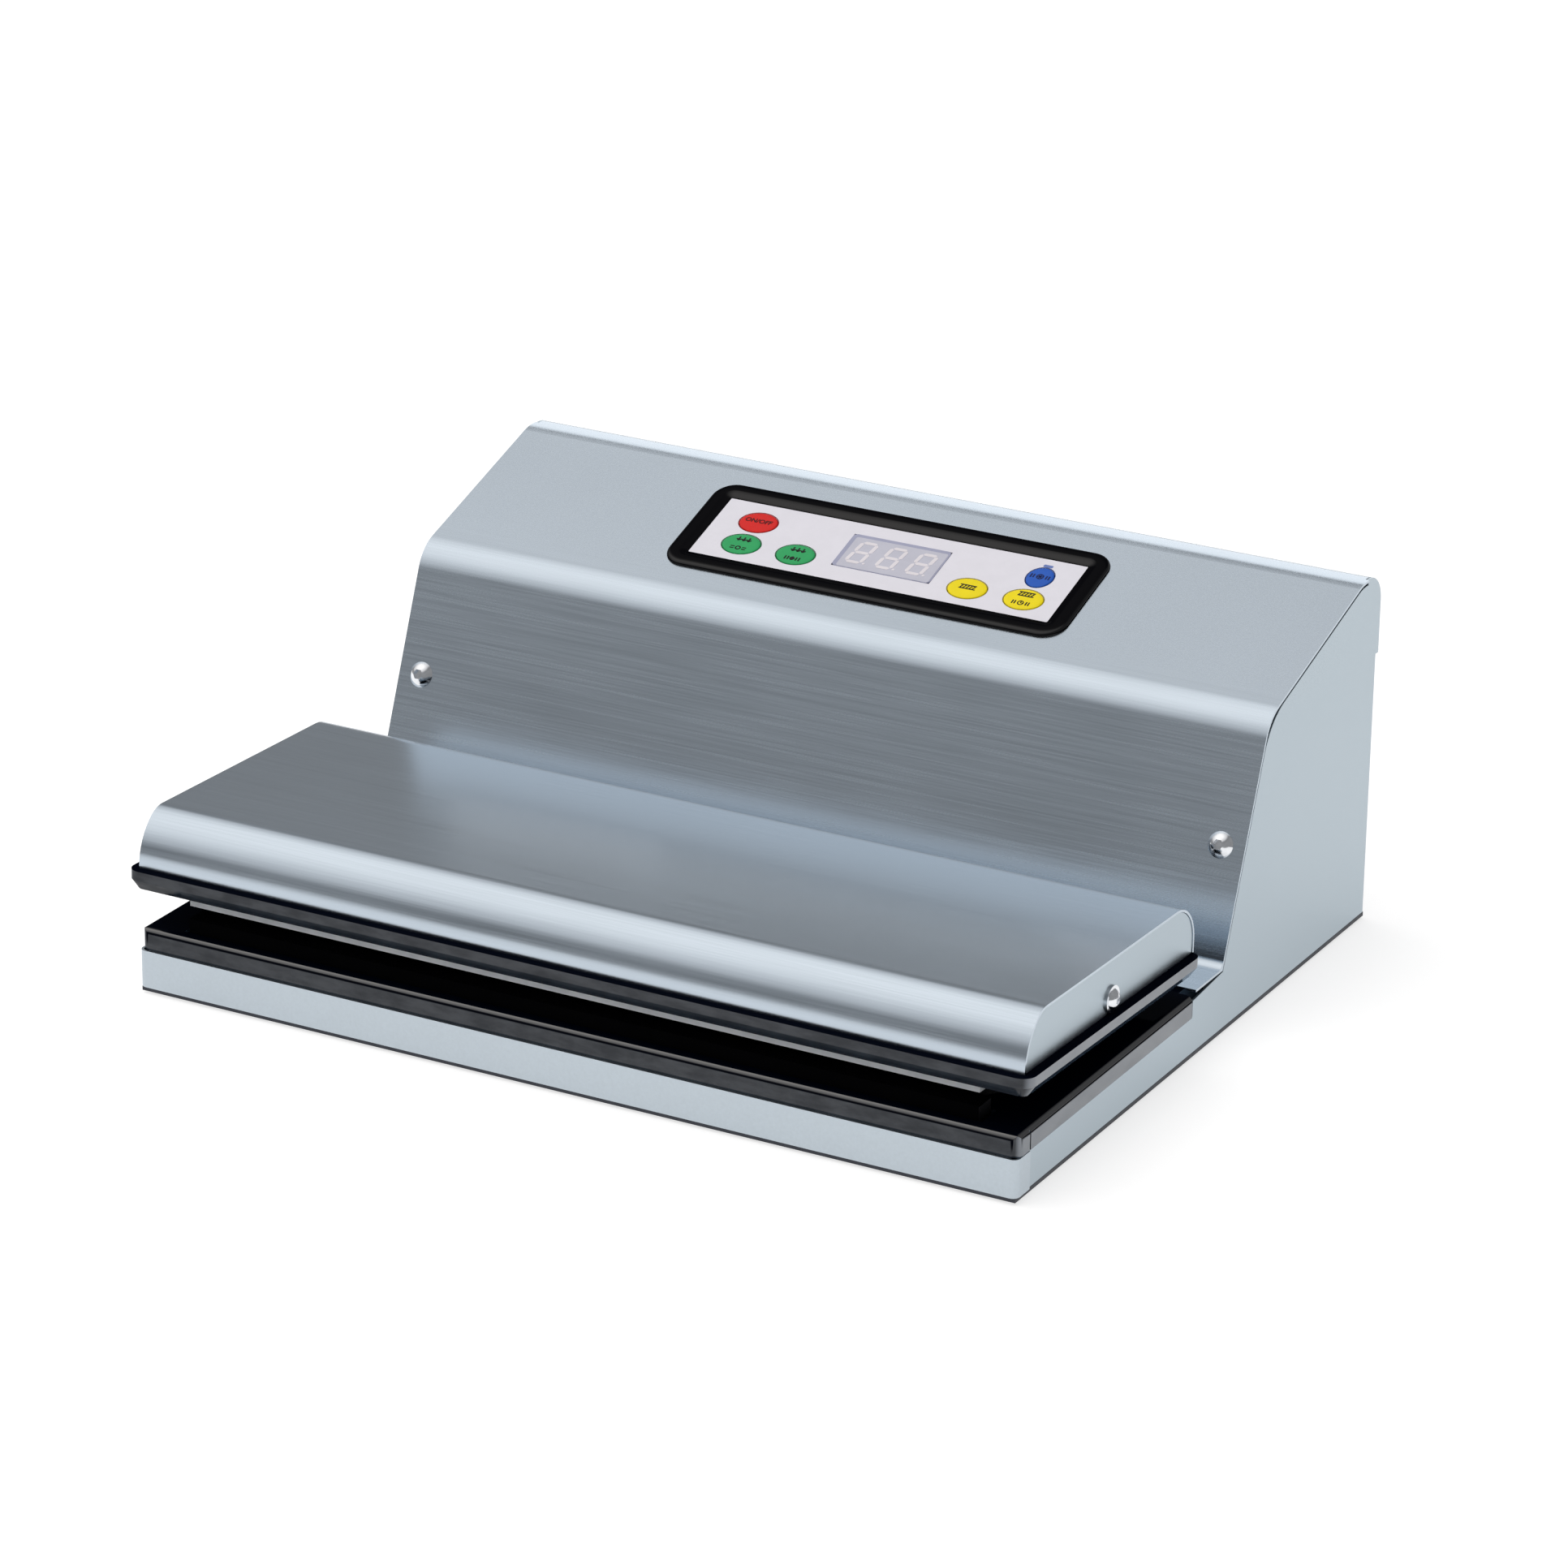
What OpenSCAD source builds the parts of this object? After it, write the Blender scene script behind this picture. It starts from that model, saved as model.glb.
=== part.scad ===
// Countertop bar vacuum sealer, with a hinged lid, a sealing bar and a sloped control panel.
// Millimetres, +Z up, front towards -Y. The origin is on the ground, under the middle of the box.

/* [Base] */
// Width of the base across the front
base_w = 390; // [340:1:430]
// Depth of the base from the front strip to the rear panel
base_d = 318; // [300:1:340]
// Height of the rubber feet under the bottom plate
foot_h = 1; // [0.5:0.1:4]
// Radius of each rubber foot
foot_r = 10; // [6:0.5:14]
// Thickness of the dark bottom plate
bottom_t = 1.8; // [1:0.1:3]
// Height of the steel front strip above the bottom plate
strip_h = 15.8; // [12:0.1:20]
// Thickness of the steel sheet
sheet_t = 1; // [0.8:0.1:1.5]

/* [Housing] */
// Top of the housing above the ground
top_z = 151.2; // [140:0.1:165]
// Where the foot of the face meets the ledge, behind the middle
face_foot_y = 18.3; // [10:0.1:25]
// How far the face leans back from upright, in degrees
face_lean = 21; // [15:0.1:26]
// Rise of the control slope, in degrees
slope_rise = 18.4; // [12:0.1:24]
// Radius of the bend between the face and the slope
face_bend_r = 18; // [8:0.5:22]
// Radius of the bend at the top rear edge
rear_bend_r = 12.5; // [6:0.5:16]
// Height at which the cover sheet ends on the rear
cover_end_z = 116; // [90:1:125]
// Front edge of the ledge, from the middle
ledge_front_y = -5; // [-8:0.1:0]

/* [Lid] */
// Width of the lid's steel cover
lid_w = 391.2; // [340:0.2:432]
// Front of the lid's steel cover, from the middle
lid_front_y = -156.5; // [-160:0.1:-145]
// Back of the lid's steel cover, from the middle
lid_back_y = -11.5; // [-16:0.1:-10]
// Top of the shut lid above the ground
lid_top_z = 69.6; // [64:0.1:76]
// Lower edge of the shut lid's steel cover
lid_edge_z = 47.2; // [45:0.1:49]
// Radius of the lid's large front curve
lid_front_r = 24.2; // [20:0.5:26]
// Slope of that curve where it meets the top bend, in degrees
lid_kink = 38; // [30:0.5:45]
// Radius of the lid's top bend
lid_kink_r = 12; // [4:0.5:12]
// Radius of the lid's rear bend
lid_rear_r = 17; // [10:0.5:19]
// How far the lid's springs hold it open at rest, in degrees
lid_tilt = 1.8; // [1.5:0.1:3]

/* [Chamber] */
// Top of the black lower tray above the ground
plate_top_z = 28; // [26:0.1:30]
// Half length of the vacuum trough
trough_half = 163; // [140:1:168]
// Front edge of the vacuum trough
trough_front_y = -126; // [-128:1:-110]
// Back edge of the vacuum trough
trough_back_y = -52; // [-80:1:-48]
// Floor of the vacuum trough above the ground
trough_floor_z = 13; // [11:0.1:16]
// Depth of the hollow in the lid's tray
lid_hollow_h = 11; // [6:0.5:14]
// Width of each foam gasket
gasket_w = 6; // [4:0.5:7]
// How far the lower gasket stands above its tray
gasket_h = 5.2; // [3:0.1:5.2]

/* [Sealing bar] */
// Length of the sealing bar
bar_l = 350; // [300:1:352]
// Width of the sealing bar
bar_w = 10; // [6:0.5:11]
// Middle of the sealing bar, from the middle of the base
bar_y = -147; // [-149:0.1:-146]
// Top of the tape over the sealing bar
bar_top_z = 33.6; // [31:0.1:33.6]
// Width of the silicone pressing strip
silicone_w = 8.6; // [6:0.1:10]

/* [Control panel] */
// Sideways shift of the control panel
panel_x = 0; // [-10:0.1:10]
// Distance of the panel's middle up the slope from its lower bend
panel_up = 34.4; // [32:0.1:38]
// Length of the white key panel
panel_l = 165.6; // [155:0.2:172]
// Width of the white key panel
panel_w = 38.6; // [37:0.1:42]
// Length of the black bezel
bezel_l = 184; // [180:1:190]
// Width of the black bezel
bezel_w = 57.4; // [53:0.1:60]
// Height of the bezel above the slope
bezel_h = 2.2; // [1:0.1:3]
// Corner radius of the bezel
bezel_r = 10; // [4:0.5:14]
// Length of an oval key
key_l = 17; // [12:0.1:18]
// Width of an oval key
key_w = 13; // [9:0.1:13.4]
// Length of the narrow oval key
key_d = 11.4; // [8:0.1:12]
// How far a key moves in when it is pressed
key_travel = 0.6; // [0.2:0.1:0.8]

/* [Hinge and fasteners] */
// Hinge axis, behind the middle
hinge_y = 6; // [4:0.1:7]
// Hinge axis above the ground
hinge_z = 40; // [38:0.1:42]
// Distance of each hinge from the middle
hinge_x = 130; // [90:1:150]
// Radius of each hinge pin
pin_r = 2.5; // [2:0.1:3]
// Running clearance of each hinge pin
pin_clear = 0.05; // [0.02:0.01:0.09]
// Radius of the button heads on the face
face_head_r = 5.4; // [4:0.1:6.5]
// Height above the ground of the screws on the face
face_screw_z = 73.6; // [50:0.1:100]
// Distance of the screws on the face from the middle
face_screw_x = 184; // [178:0.1:186]
// Radius of the washers on the lid's ends
washer_r = 5.5; // [4:0.1:5.6]

/* [Hidden] */

$fn = 64;
steel = [0.72, 0.75, 0.78];
bright_steel = [0.82, 0.84, 0.86];
gloss_black = [0.05, 0.05, 0.06];
dark_grey = [0.16, 0.16, 0.18];
foam_black = [0.1, 0.1, 0.1];
off_white = [0.93, 0.93, 0.95];
board_green = [0.05, 0.32, 0.18];
brass = [0.75, 0.6, 0.3];

// Base levels and widths.
half_w = base_w / 2;
front_y = -base_d / 2;
back_y = base_d / 2;
pan_z = foot_h + bottom_t;
strip_z = pan_z + strip_h;
side_x = half_w - 0.8;
strip_return = 11;
step_y = -8.5;
ledge_z = plate_top_z + 0.3;
fit_gap = 0.3;
eps = 0.01;

// Housing outline, as points in the plane of Y and Z.
cover_back_y = back_y + 1.4;
slope_base = [68.4, 127.2];
lean_dir = [sin(face_lean), cos(face_lean)];
rise_dir = [cos(slope_rise), sin(slope_rise)];
face_foot = [face_foot_y, ledge_z];
face_run = cross2(slope_base - face_foot, rise_dir) / cross2(lean_dir, rise_dir);
face_top = face_foot + lean_dir * face_run;
slope_top = slope_base + rise_dir * (top_z - slope_base[1]) / rise_dir[1];
top_bend_r = 20;
bend_relief = 11.6;
side_gap = 1.3;
crown_y = back_y - 12.4;
crown_z = cover_end_z - 0.5;
foot_bend_r = 5;
housing_points = [face_foot, face_top, slope_top, [cover_back_y, top_z], [cover_back_y, pan_z],
    [face_foot_y, pan_z]];
housing_radii = [0, face_bend_r, top_bend_r, rear_bend_r, 0, 0];
side_radii = [0, face_bend_r + bend_relief, top_bend_r, rear_bend_r, 0, 0];

// Lid outline when shut.
lid_bend = 90 - lid_kink;
lid_straight = 0.9;
lid_corner_z = lid_edge_z + lid_straight + lid_front_r * tan(lid_bend / 2);
lid_kink_y = lid_front_y + (lid_top_z - lid_corner_z) / tan(lid_kink);
lid_under = lid_edge_z - 5;
lid_points = [[lid_front_y, lid_under], [lid_front_y, lid_corner_z], [lid_kink_y, lid_top_z],
    [lid_back_y, lid_top_z], [lid_back_y, lid_under]];
lid_radii = [0, lid_front_r, lid_kink_r, lid_rear_r, 0];
lid_half = lid_w / 2;

// Lid tray levels when shut.
tray_z = 39;
lip_z = lid_edge_z - 4;
lip_out = 3.9;
tray_r = 6;
draft_in = 2.9;
gasket_in = 3;
gasket_seat = 3;
meet_gap = 0.3;
gasket_meet = 0.6;

// Control panel places, on the slope.
panel_seat = 1.5;
key_up = 7;
key_down = -8.4;
key_col = [-63.5, -38, 41.4, 66.9];
key_gap = 0.25;
key_proud = 0.25;
window_l = 45.3;
window_w = 22.1;
window_at = [2, 0.9];

// Hinges.
ear_t = 3;
knuckle_w = 12;
ear_gap = 0.3;
ear_x = knuckle_w / 2 + ear_gap;
spring_turns = 6;
wire_r = 0.6;
coil_r = pin_r + wire_r + 0.2;
coil_pitch = 1.9 * wire_r;
pin_half = ear_x + ear_t + spring_turns * coil_pitch + 2;
rivet_z = hinge_z + 11.2;
rivet_x = 10;

// Vacuum line.
hose_z = trough_floor_z + 3;
valve_y = [18, 46];
pump_y = [84, 144];

// Rear fittings.
inlet_at = [138, 30];
rear_screw_at = [[-185, 14], [185, 14], [-185, 62], [185, 62], [-185, 108], [185, 108]];
bottom_screw_at = [[-182, -146], [182, -146], [-182, 0], [182, 0], [-182, 146], [182, 146]];
foot_at = [[-165, -130], [165, -130], [-165, 130], [165, 130]];
lid_screw_at = [-84.2, 52.8];

function cross2(a, b) = a[0] * b[1] - a[1] * b[0];
function unit(v) = v / norm(v);
function wrap(list, i) = list[(i + len(list)) % len(list)];
// Half of the inner angle at corner i of an outline.
function half_angle(p, i) =
    acos(unit(wrap(p, i - 1) - p[i]) * unit(wrap(p, i + 1) - p[i])) / 2;
function bisector(p, i) = unit(unit(wrap(p, i - 1) - p[i]) + unit(wrap(p, i + 1) - p[i]));
// An outline moved inwards by a distance.
function inset(p, d) = [for (i = [0:len(p) - 1]) p[i] + bisector(p, i) * d / sin(half_angle(p, i))];
// The two points where a rounded corner's arc begins and ends.
function arc_end(p, r, i, side) =
    p[i] + unit(wrap(p, i + side) - p[i]) * r[i] / tan(half_angle(p, i));
function oval(l, w) = [for (a = [0:10:350]) [l / 2 * cos(a), w / 2 * sin(a)]];

// A convex outline with true arcs at its rounded corners.
module rounded(p, r) {
    polygon([for (i = [0:len(p) - 1], side = [-1, 1]) arc_end(p, r, i, side)]);
    for (i = [0:len(p) - 1]) {
        middle = p[i] + bisector(p, i) * r[i] / sin(half_angle(p, i));
        wedge = [arc_end(p, r, i, -1), p[i], arc_end(p, r, i, 1)];
        if (r[i] > 0) translate(middle) intersection() {
            circle(r = r[i]);
            polygon([[0, 0], for (w = wedge) (w - middle) * 1.3]);
        }
    }
}

// The same outline, moved inwards by d.
module rounded_in(p, r, d) {
    rounded(inset(p, d), [for (x = r) max(x - d, 0)]);
}

// A rectangle with rounded corners, about the origin.
module rrect(l, w, r) {
    square([l, w - 2 * r], center = true);
    square([l - 2 * r, w], center = true);
    for (sx = [-1, 1], sy = [-1, 1]) translate([sx * (l / 2 - r), sy * (w / 2 - r)]) circle(r = r);
}

// A rounded ring of a given width, outside an inner rectangle.
module ring2d(l, w, r, band) {
    difference() {
        rrect(l + 2 * band, w + 2 * band, r + band);
        rrect(l, w, r);
    }
}

// A rounded block whose walls lean outwards by grow over its height.
module drafted(l, w, r, grow, h) {
    for (sx = [-1, 1], sy = [-1, 1]) translate([sx * (l / 2 - r), sy * (w / 2 - r), 0])
        cylinder(r1 = r, r2 = r + grow, h = h);
    rotate([90, 0, 90]) linear_extrude(l - 2 * r, center = true) leaning(w / 2, grow, h);
    rotate([90, 0, 0]) linear_extrude(w - 2 * r, center = true) leaning(l / 2, grow, h);
}

module leaning(half, grow, h) {
    polygon([[-half, 0], [half, 0], [half + grow, h], [-half - grow, h]]);
}

// An extrusion of an outline in the plane of Y and Z, from x0 to x1.
module along_x(x0, x1) {
    translate([x0, 0, 0]) rotate([90, 0, 90]) linear_extrude(x1 - x0) children();
}

// A box from one corner to the other.
module block(lo, hi) {
    translate(lo) cube(hi - lo);
}

// The lid swung from shut to its place at rest.
module lid_at_rest() {
    translate([0, hinge_y, hinge_z]) rotate([-lid_tilt, 0, 0]) translate([0, -hinge_y, -hinge_z])
        children();
}

// Slope coordinates: X across, Y up the slope, Z out of it, about the panel's middle.
module on_slope() {
    translate([panel_x, slope_base[0], slope_base[1]]) rotate([slope_rise, 0, 0])
        translate([0, panel_up, 0]) children();
}

// Face coordinates at a screw: Z out of the face.
module on_face(x) {
    run = (face_screw_z - face_foot[1]) / lean_dir[1];
    spot = face_foot + lean_dir * run;
    translate([x, spot[0], spot[1]]) rotate([90 - face_lean, 0, 0]) children();
}

// A domed button head on the plane z = 0, with a hex socket.
module button_head(r, h) {
    ball = (r * r + h * h) / (2 * h);
    difference() {
        intersection() {
            translate([0, 0, h - ball]) sphere(r = ball);
            cylinder(r = r, h = h);
        }
        translate([0, 0, h * 0.45]) cylinder(r = r * 0.42, h = h, $fn = 6);
    }
}

// ---- Base ----

module bottom_plate() {
    color(dark_grey) difference() {
        translate([0, 0, foot_h]) linear_extrude(bottom_t - eps)
            square([2 * side_x, base_d - 1.6], center = true);
        for (p = foot_at) translate([p[0], p[1], 0]) cylinder(r = 3, h = 10);
        for (p = bottom_screw_at) translate([p[0], p[1], 0]) cylinder(r = 2, h = 10);
    }
}

// A pan with the front strip, its rolled corners and its top flange.
module base_tray() {
    flange = 5;
    corner_r = 3;
    color(steel) difference() {
        union() {
            block([-half_w + 3, front_y + 1, pan_z], [half_w - 3, back_y - 2, pan_z + sheet_t]);
            difference() {
                translate([0, 0, pan_z]) linear_extrude(strip_h) strip_plan(corner_r, 0);
                translate([0, 0, pan_z - 1]) linear_extrude(strip_h + 2) strip_plan(corner_r, sheet_t);
            }
            block([-half_w + 4, front_y + 0.5, strip_z - sheet_t], [half_w - 4, front_y + flange, strip_z]);
        }
        for (p = bottom_screw_at) translate([p[0], p[1], 0]) cylinder(r = 2, h = 10);
    }
}

// Plan of the front strip with its short side returns, moved inwards by d.
module strip_plan(r, d) {
    long = strip_return + (d > 0 ? 1 : 0);
    intersection() {
        translate([0, front_y + 30]) rrect(base_w - 2 * d, 60 - 2 * d, r - d);
        translate([-half_w, front_y]) square([base_w, long]);
    }
}

// One side sheet, with a foot flange and a tab for the face screw.
module side_plate(side) {
    tab_w = 20;
    slit = 1.8;
    mirror([side < 0 ? 1 : 0, 0, 0]) color(steel) union() {
        along_x(side_x - sheet_t, side_x) {
            intersection() {
                rounded_in(housing_points, side_radii, sheet_t + side_gap);
                translate([0, pan_z + sheet_t]) square([back_y - sheet_t - fit_gap, 200]);
            }
            intersection() {
                rounded(housing_points, housing_radii);
                translate([crown_y + 0.4, crown_z + 0.4]) square([30, 60]);
            }
            translate([front_y + strip_return + fit_gap, pan_z])
                square([base_d - strip_return - sheet_t - 2 * fit_gap, strip_h - 0.1]);
            polygon([[step_y + slit, pan_z], [face_foot_y + 10, pan_z], [face_foot_y + 10, ledge_z],
                [face_foot_y + 2, ledge_z - 0.8], [step_y + slit, ledge_z - 3]]);
        }
        difference() {
            block([side_x - 12, front_y + 40, pan_z + sheet_t], [side_x - eps, back_y - 20, pan_z + 2 * sheet_t]);
            for (p = bottom_screw_at) translate([abs(p[0]), p[1], 0]) cylinder(r = 2, h = 12);
        }
        intersection() {
            on_face(face_screw_x) difference() {
                translate([-tab_w / 2, -15, -2 * sheet_t - 0.1]) cube([tab_w, 30, sheet_t]);
                translate([0, 0, -10]) cylinder(r = 2.9, h = 20);
            }
            block([0, 0, 0], [side_x - eps, 100, 200]);
        }
    }
}

module side_plate_left() { side_plate(-1); }
module side_plate_right() { side_plate(1); }

// Face, slope and top from one folded sheet, with the ledge in front.
module front_panel() {
    cut_l = panel_l + 4.2;
    cut_w = panel_w + 4.2;
    half = half_w - 0.5;
    color(steel) difference() {
        union() {
            along_x(-half, half) difference() {
                rounded(housing_points, housing_radii);
                rounded_in(housing_points, housing_radii, sheet_t);
                translate([-50, -50]) square([300, 50 + ledge_z]);
                translate([back_y - 30, 0]) square([60, cover_end_z]);
            }
            block([-half, ledge_front_y, ledge_z], [half, face_foot_y + 1, ledge_z + sheet_t]);
            along_x(-half, half) foot_bend();
        }
        for (s = [-1, 1]) translate([s * (side_x - sheet_t - fit_gap + 5), crown_y + 20, crown_z + 30])
            cube([10, 40, 60], center = true);
        on_slope() translate([0, 0, -10]) linear_extrude(20) rrect(cut_l, cut_w, 2);
        for (s = [-1, 1]) on_face(s * face_screw_x) translate([0, 0, -10]) cylinder(r = 3, h = 20);
        for (s = [-1, 1], e = [-1, 1]) translate([s * hinge_x + e * 5, hinge_y, ledge_z - 1])
            cylinder(r = 1.5, h = 4);
    }
}

// The hollow bend where the ledge's top turns up into the face.
module foot_bend() {
    t = foot_bend_r * tan((90 - face_lean) / 2);
    corner = face_foot + lean_dir * sheet_t / lean_dir[1];
    middle = corner + [-t, foot_bend_r];
    difference() {
        polygon([corner + [0.6, -0.6], corner + [-t, -0.6], corner + [-t, 0], middle,
            corner + lean_dir * t, corner + lean_dir * t + [0.6, 0]]);
        translate(middle) circle(r = foot_bend_r);
    }
}

// Rear sheet with vent slots, the inlet's cutout and screw holes.
module rear_panel() {
    half = side_x - sheet_t - fit_gap;
    slots = 14;
    color(steel) difference() {
        block([-half, back_y - sheet_t, pan_z], [half, back_y, top_z - 14]);
        for (s = [-1, 1], i = [0:slots - 1])
            translate([s * 100 + (i - (slots - 1) / 2) * 7, back_y, 84])
                rotate([90, 0, 0]) linear_extrude(6, center = true) rrect(3, 30, 1.4);
        translate([inlet_at[0], back_y, inlet_at[1]]) rotate([90, 0, 0])
            linear_extrude(6, center = true) rrect(28.4, 20.4, 3);
        for (s = [-1, 1]) translate([inlet_at[0] + s * 20, back_y, inlet_at[1]]) rotate([90, 0, 0])
            cylinder(r = 1.6, h = 6, center = true);
        for (p = rear_screw_at) translate([p[0], back_y, p[1]]) rotate([90, 0, 0])
            cylinder(r = 1.8, h = 6, center = true);
    }
}

module rubber_feet() {
    color(foam_black) for (p = foot_at) translate([p[0], p[1], 0]) {
        cylinder(r = foot_r, h = foot_h - eps);
        cylinder(r = 3, h = foot_h + bottom_t - 0.1);
    }
}

// ---- Chamber and sealing bar ----

// Black lower tray with rounded edges, a trough, a gasket seat and the bar's slot.
module chamber_plate() {
    edge_r = 3;
    half = half_w - 0.2;
    low = strip_z + 0.05;
    plate_front = front_y + 1.4;
    trough_mid = (trough_front_y + trough_back_y) / 2;
    color(gloss_black) difference() {
        union() {
            intersection() {
                along_x(-half, half) rounded([[plate_front, low], [plate_front, plate_top_z],
                    [step_y, plate_top_z], [step_y, low]], [0, edge_r, 0, 0]);
                rotate([90, 0, 0]) linear_extrude(base_d + 40, center = true)
                    rounded([[-half, low], [-half, plate_top_z], [half, plate_top_z], [half, low]],
                        [0, edge_r, edge_r, 0]);
                linear_extrude(100) translate([0, plate_front + 100]) rrect(2 * half, 200, 4);
            }
            block([-half + 6, step_y - 1, low], [half - 6, face_foot_y - 4, plate_top_z]);
            translate([0, trough_mid, trough_floor_z - 2]) linear_extrude(10)
                trough_plan(2);
        }
        translate([0, trough_mid, trough_floor_z]) linear_extrude(40) trough_plan(0);
        translate([0, trough_mid, plate_top_z - gasket_seat]) linear_extrude(10) gasket_plan();
        block([-bar_l / 2 - 2, bar_y - bar_w / 2 - 1, plate_top_z - 7],
            [bar_l / 2 + 2, bar_y + bar_w / 2 + 1, plate_top_z + 5]);
        for (s = [-1, 1]) translate([s * half, front_y + strip_return, 23])
            cube([1, 0.8, 20], center = true);
        translate([-120, trough_back_y, hose_z]) rotate([-90, 0, 0]) {
            cylinder(r = 2.6, h = 20, center = true);
            translate([0, 0, 2.2]) cylinder(r = 4.7, h = 100);
        }
    }
}

module trough_plan(out) {
    rrect(2 * trough_half + 2 * out, trough_back_y - trough_front_y + 2 * out, 8 + out);
}

module gasket_plan() {
    ring2d(2 * (trough_half + gasket_in), trough_back_y - trough_front_y + 2 * gasket_in, 10, gasket_w);
}

module lower_gasket() {
    color(foam_black) translate([0, (trough_front_y + trough_back_y) / 2, plate_top_z - gasket_seat])
        linear_extrude(gasket_seat + gasket_h) gasket_plan();
}

// Aluminium bar in its slot, below the wire and the tape.
module seal_bar() {
    color(bright_steel) block([-bar_l / 2, bar_y - bar_w / 2, plate_top_z - 7],
        [bar_l / 2, bar_y + bar_w / 2, bar_top_z - 0.6]);
}

module heater_wire() {
    color(brass) block([-bar_l / 2 + 1, bar_y - 1.5, bar_top_z - 0.6],
        [bar_l / 2 - 1, bar_y + 1.5, bar_top_z - 0.3]);
}

// Slippery tape folded over the bar.
module bar_tape() {
    out = 0.3;
    color(dark_grey) difference() {
        block([-bar_l / 2, bar_y - bar_w / 2 - out, plate_top_z - 3],
            [bar_l / 2, bar_y + bar_w / 2 + out, bar_top_z]);
        block([-bar_l, bar_y - bar_w / 2, 0], [bar_l, bar_y + bar_w / 2, bar_top_z - 0.6]);
        block([-bar_l, bar_y - 1.5, 0], [bar_l, bar_y + 1.5, bar_top_z - 0.3]);
    }
}

// Barbed fitting through the trough's rear wall.
module vacuum_port() {
    color(brass) translate([-120, trough_back_y, hose_z]) rotate([-90, 0, 0]) difference() {
        union() {
            translate([0, 0, -2]) cylinder(r = 2.6, h = 16);
            translate([0, 0, -2.5]) cylinder(r = 2.9, h = 1.5);
            for (i = [0:2]) translate([0, 0, 6 + 2.4 * i]) cylinder(r1 = 2.9, r2 = 2.6, h = 2.2);
        }
        translate([0, 0, -5]) cylinder(r = 1.6, h = 40);
    }
}

// ---- Inside the housing ----

module hose_run(y0, y1) {
    translate([-120, y0, hose_z]) rotate([-90, 0, 0]) difference() {
        cylinder(r = 4.4, h = y1 - y0);
        translate([0, 0, -1]) cylinder(r = 3, h = y1 - y0 + 2);
    }
}

module vacuum_hose() {
    color(foam_black) {
        hose_run(trough_back_y + 4, valve_y[0] - eps);
        hose_run(valve_y[1] + eps, pump_y[0] - eps);
    }
}

module release_valve() {
    color(dark_grey) {
        block([-132, valve_y[0], pan_z + sheet_t], [-108, valve_y[1], plate_top_z - 2]);
        translate([-120, (valve_y[0] + valve_y[1]) / 2 + 6, plate_top_z - 3]) cylinder(r = 8, h = 24);
    }
}

module vacuum_pump() {
    base_z = pan_z + sheet_t;
    color(dark_grey) {
        block([-155, pump_y[0], base_z], [-85, pump_y[1], base_z + 48]);
        for (x = [-138, -102]) translate([x, 114, base_z + 48 - eps]) cylinder(r = 15, h = 12);
    }
}

module pump_motor() {
    mid_z = pan_z + sheet_t + 24;
    color(bright_steel) translate([-85 + eps, 114, mid_z]) rotate([0, 90, 0]) {
        cylinder(r = 20, h = 52);
        cylinder(r = 7, h = 57);
    }
}

// Laminated core with its coil and mounting feet.
module transformer() {
    base_z = pan_z + sheet_t;
    color(dark_grey) {
        block([40, 92, base_z], [104, 136, base_z + 54]);
        block([50, 82, base_z + 12], [94, 146, base_z + 42]);
        block([30, 98, base_z], [114, 130, base_z + 3]);
    }
}

module power_board() {
    z = pan_z + sheet_t + 6;
    color(board_green) {
        block([-22, 70, z], [26, 150, z + 1.6]);
        for (x = [-18, 22], y = [74, 146]) translate([x, y, pan_z + sheet_t]) cylinder(r = 2, h = 6.5);
        for (y = [84, 104, 124]) translate([-8, y, z + 1.6 - eps]) cylinder(r = 6, h = 18);
        block([4, 80, z + 1.6 - eps], [20, 100, z + 18]);
        block([4, 108, z + 1.6 - eps], [20, 140, z + 12]);
    }
}

// Board under the keys, with one small switch below each of them.
module control_board() {
    board_z = -12;
    switch_z = -3.1;
    color(board_green) on_slope() {
        translate([-76, -15, board_z]) cube([152, 30, 1.6]);
        for (k = key_places()) translate([k[0] - 3, k[1] - 3, board_z + 1.6 - eps])
            cube([6, 6, switch_z - board_z - 1.6]);
    }
}

module display_module() {
    color(dark_grey) on_slope()
        translate([window_at[0] - 19, window_at[1] - 8, -10.4 + eps]) cube([38, 16, 8.8]);
}

module lid_switch() {
    color(dark_grey) {
        block([-184, 30, plate_top_z - 4], [-164, 37, plate_top_z + 8]);
        block([-178, 31.5, plate_top_z + 8 - eps], [-174, 35.5, plate_top_z + 10]);
    }
}

// ---- Control panel ----

function key_places() = [[key_col[0], key_up], [key_col[0], key_down], [key_col[1], key_down],
    [key_col[2], key_down], [key_col[3], key_down], [key_col[3], key_up]];

module key_shape(i, grow) {
    translate(key_places()[i]) {
        long = i == 5 ? key_d : key_l;
        polygon(oval(long + 2 * grow, key_w + 2 * grow));
    }
}

module bezel() {
    hole = 0.2;
    seat_in = 3;
    color(gloss_black) on_slope() {
        linear_extrude(bezel_h) difference() {
            rrect(bezel_l, bezel_w, bezel_r);
            square([panel_l + hole, panel_w + hole], center = true);
        }
        translate([0, 0, -panel_seat]) linear_extrude(panel_seat + eps) difference() {
            rrect(panel_l + 4, panel_w + 4, 2);
            square([panel_l + hole, panel_w + hole], center = true);
        }
        translate([0, 0, -panel_seat - 1.5]) linear_extrude(1.5) difference() {
            rrect(panel_l + 4, panel_w + 4, 2);
            square([panel_l - 2 * seat_in, panel_w - 2 * seat_in], center = true);
        }
    }
}

module key_panel() {
    color(off_white) on_slope() translate([0, 0, -panel_seat + eps]) linear_extrude(2) difference() {
        square([panel_l, panel_w], center = true);
        for (i = [0:5]) key_shape(i, key_gap);
        translate(window_at) square([window_l + 0.1, window_w + 0.1], center = true);
    }
}

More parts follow.
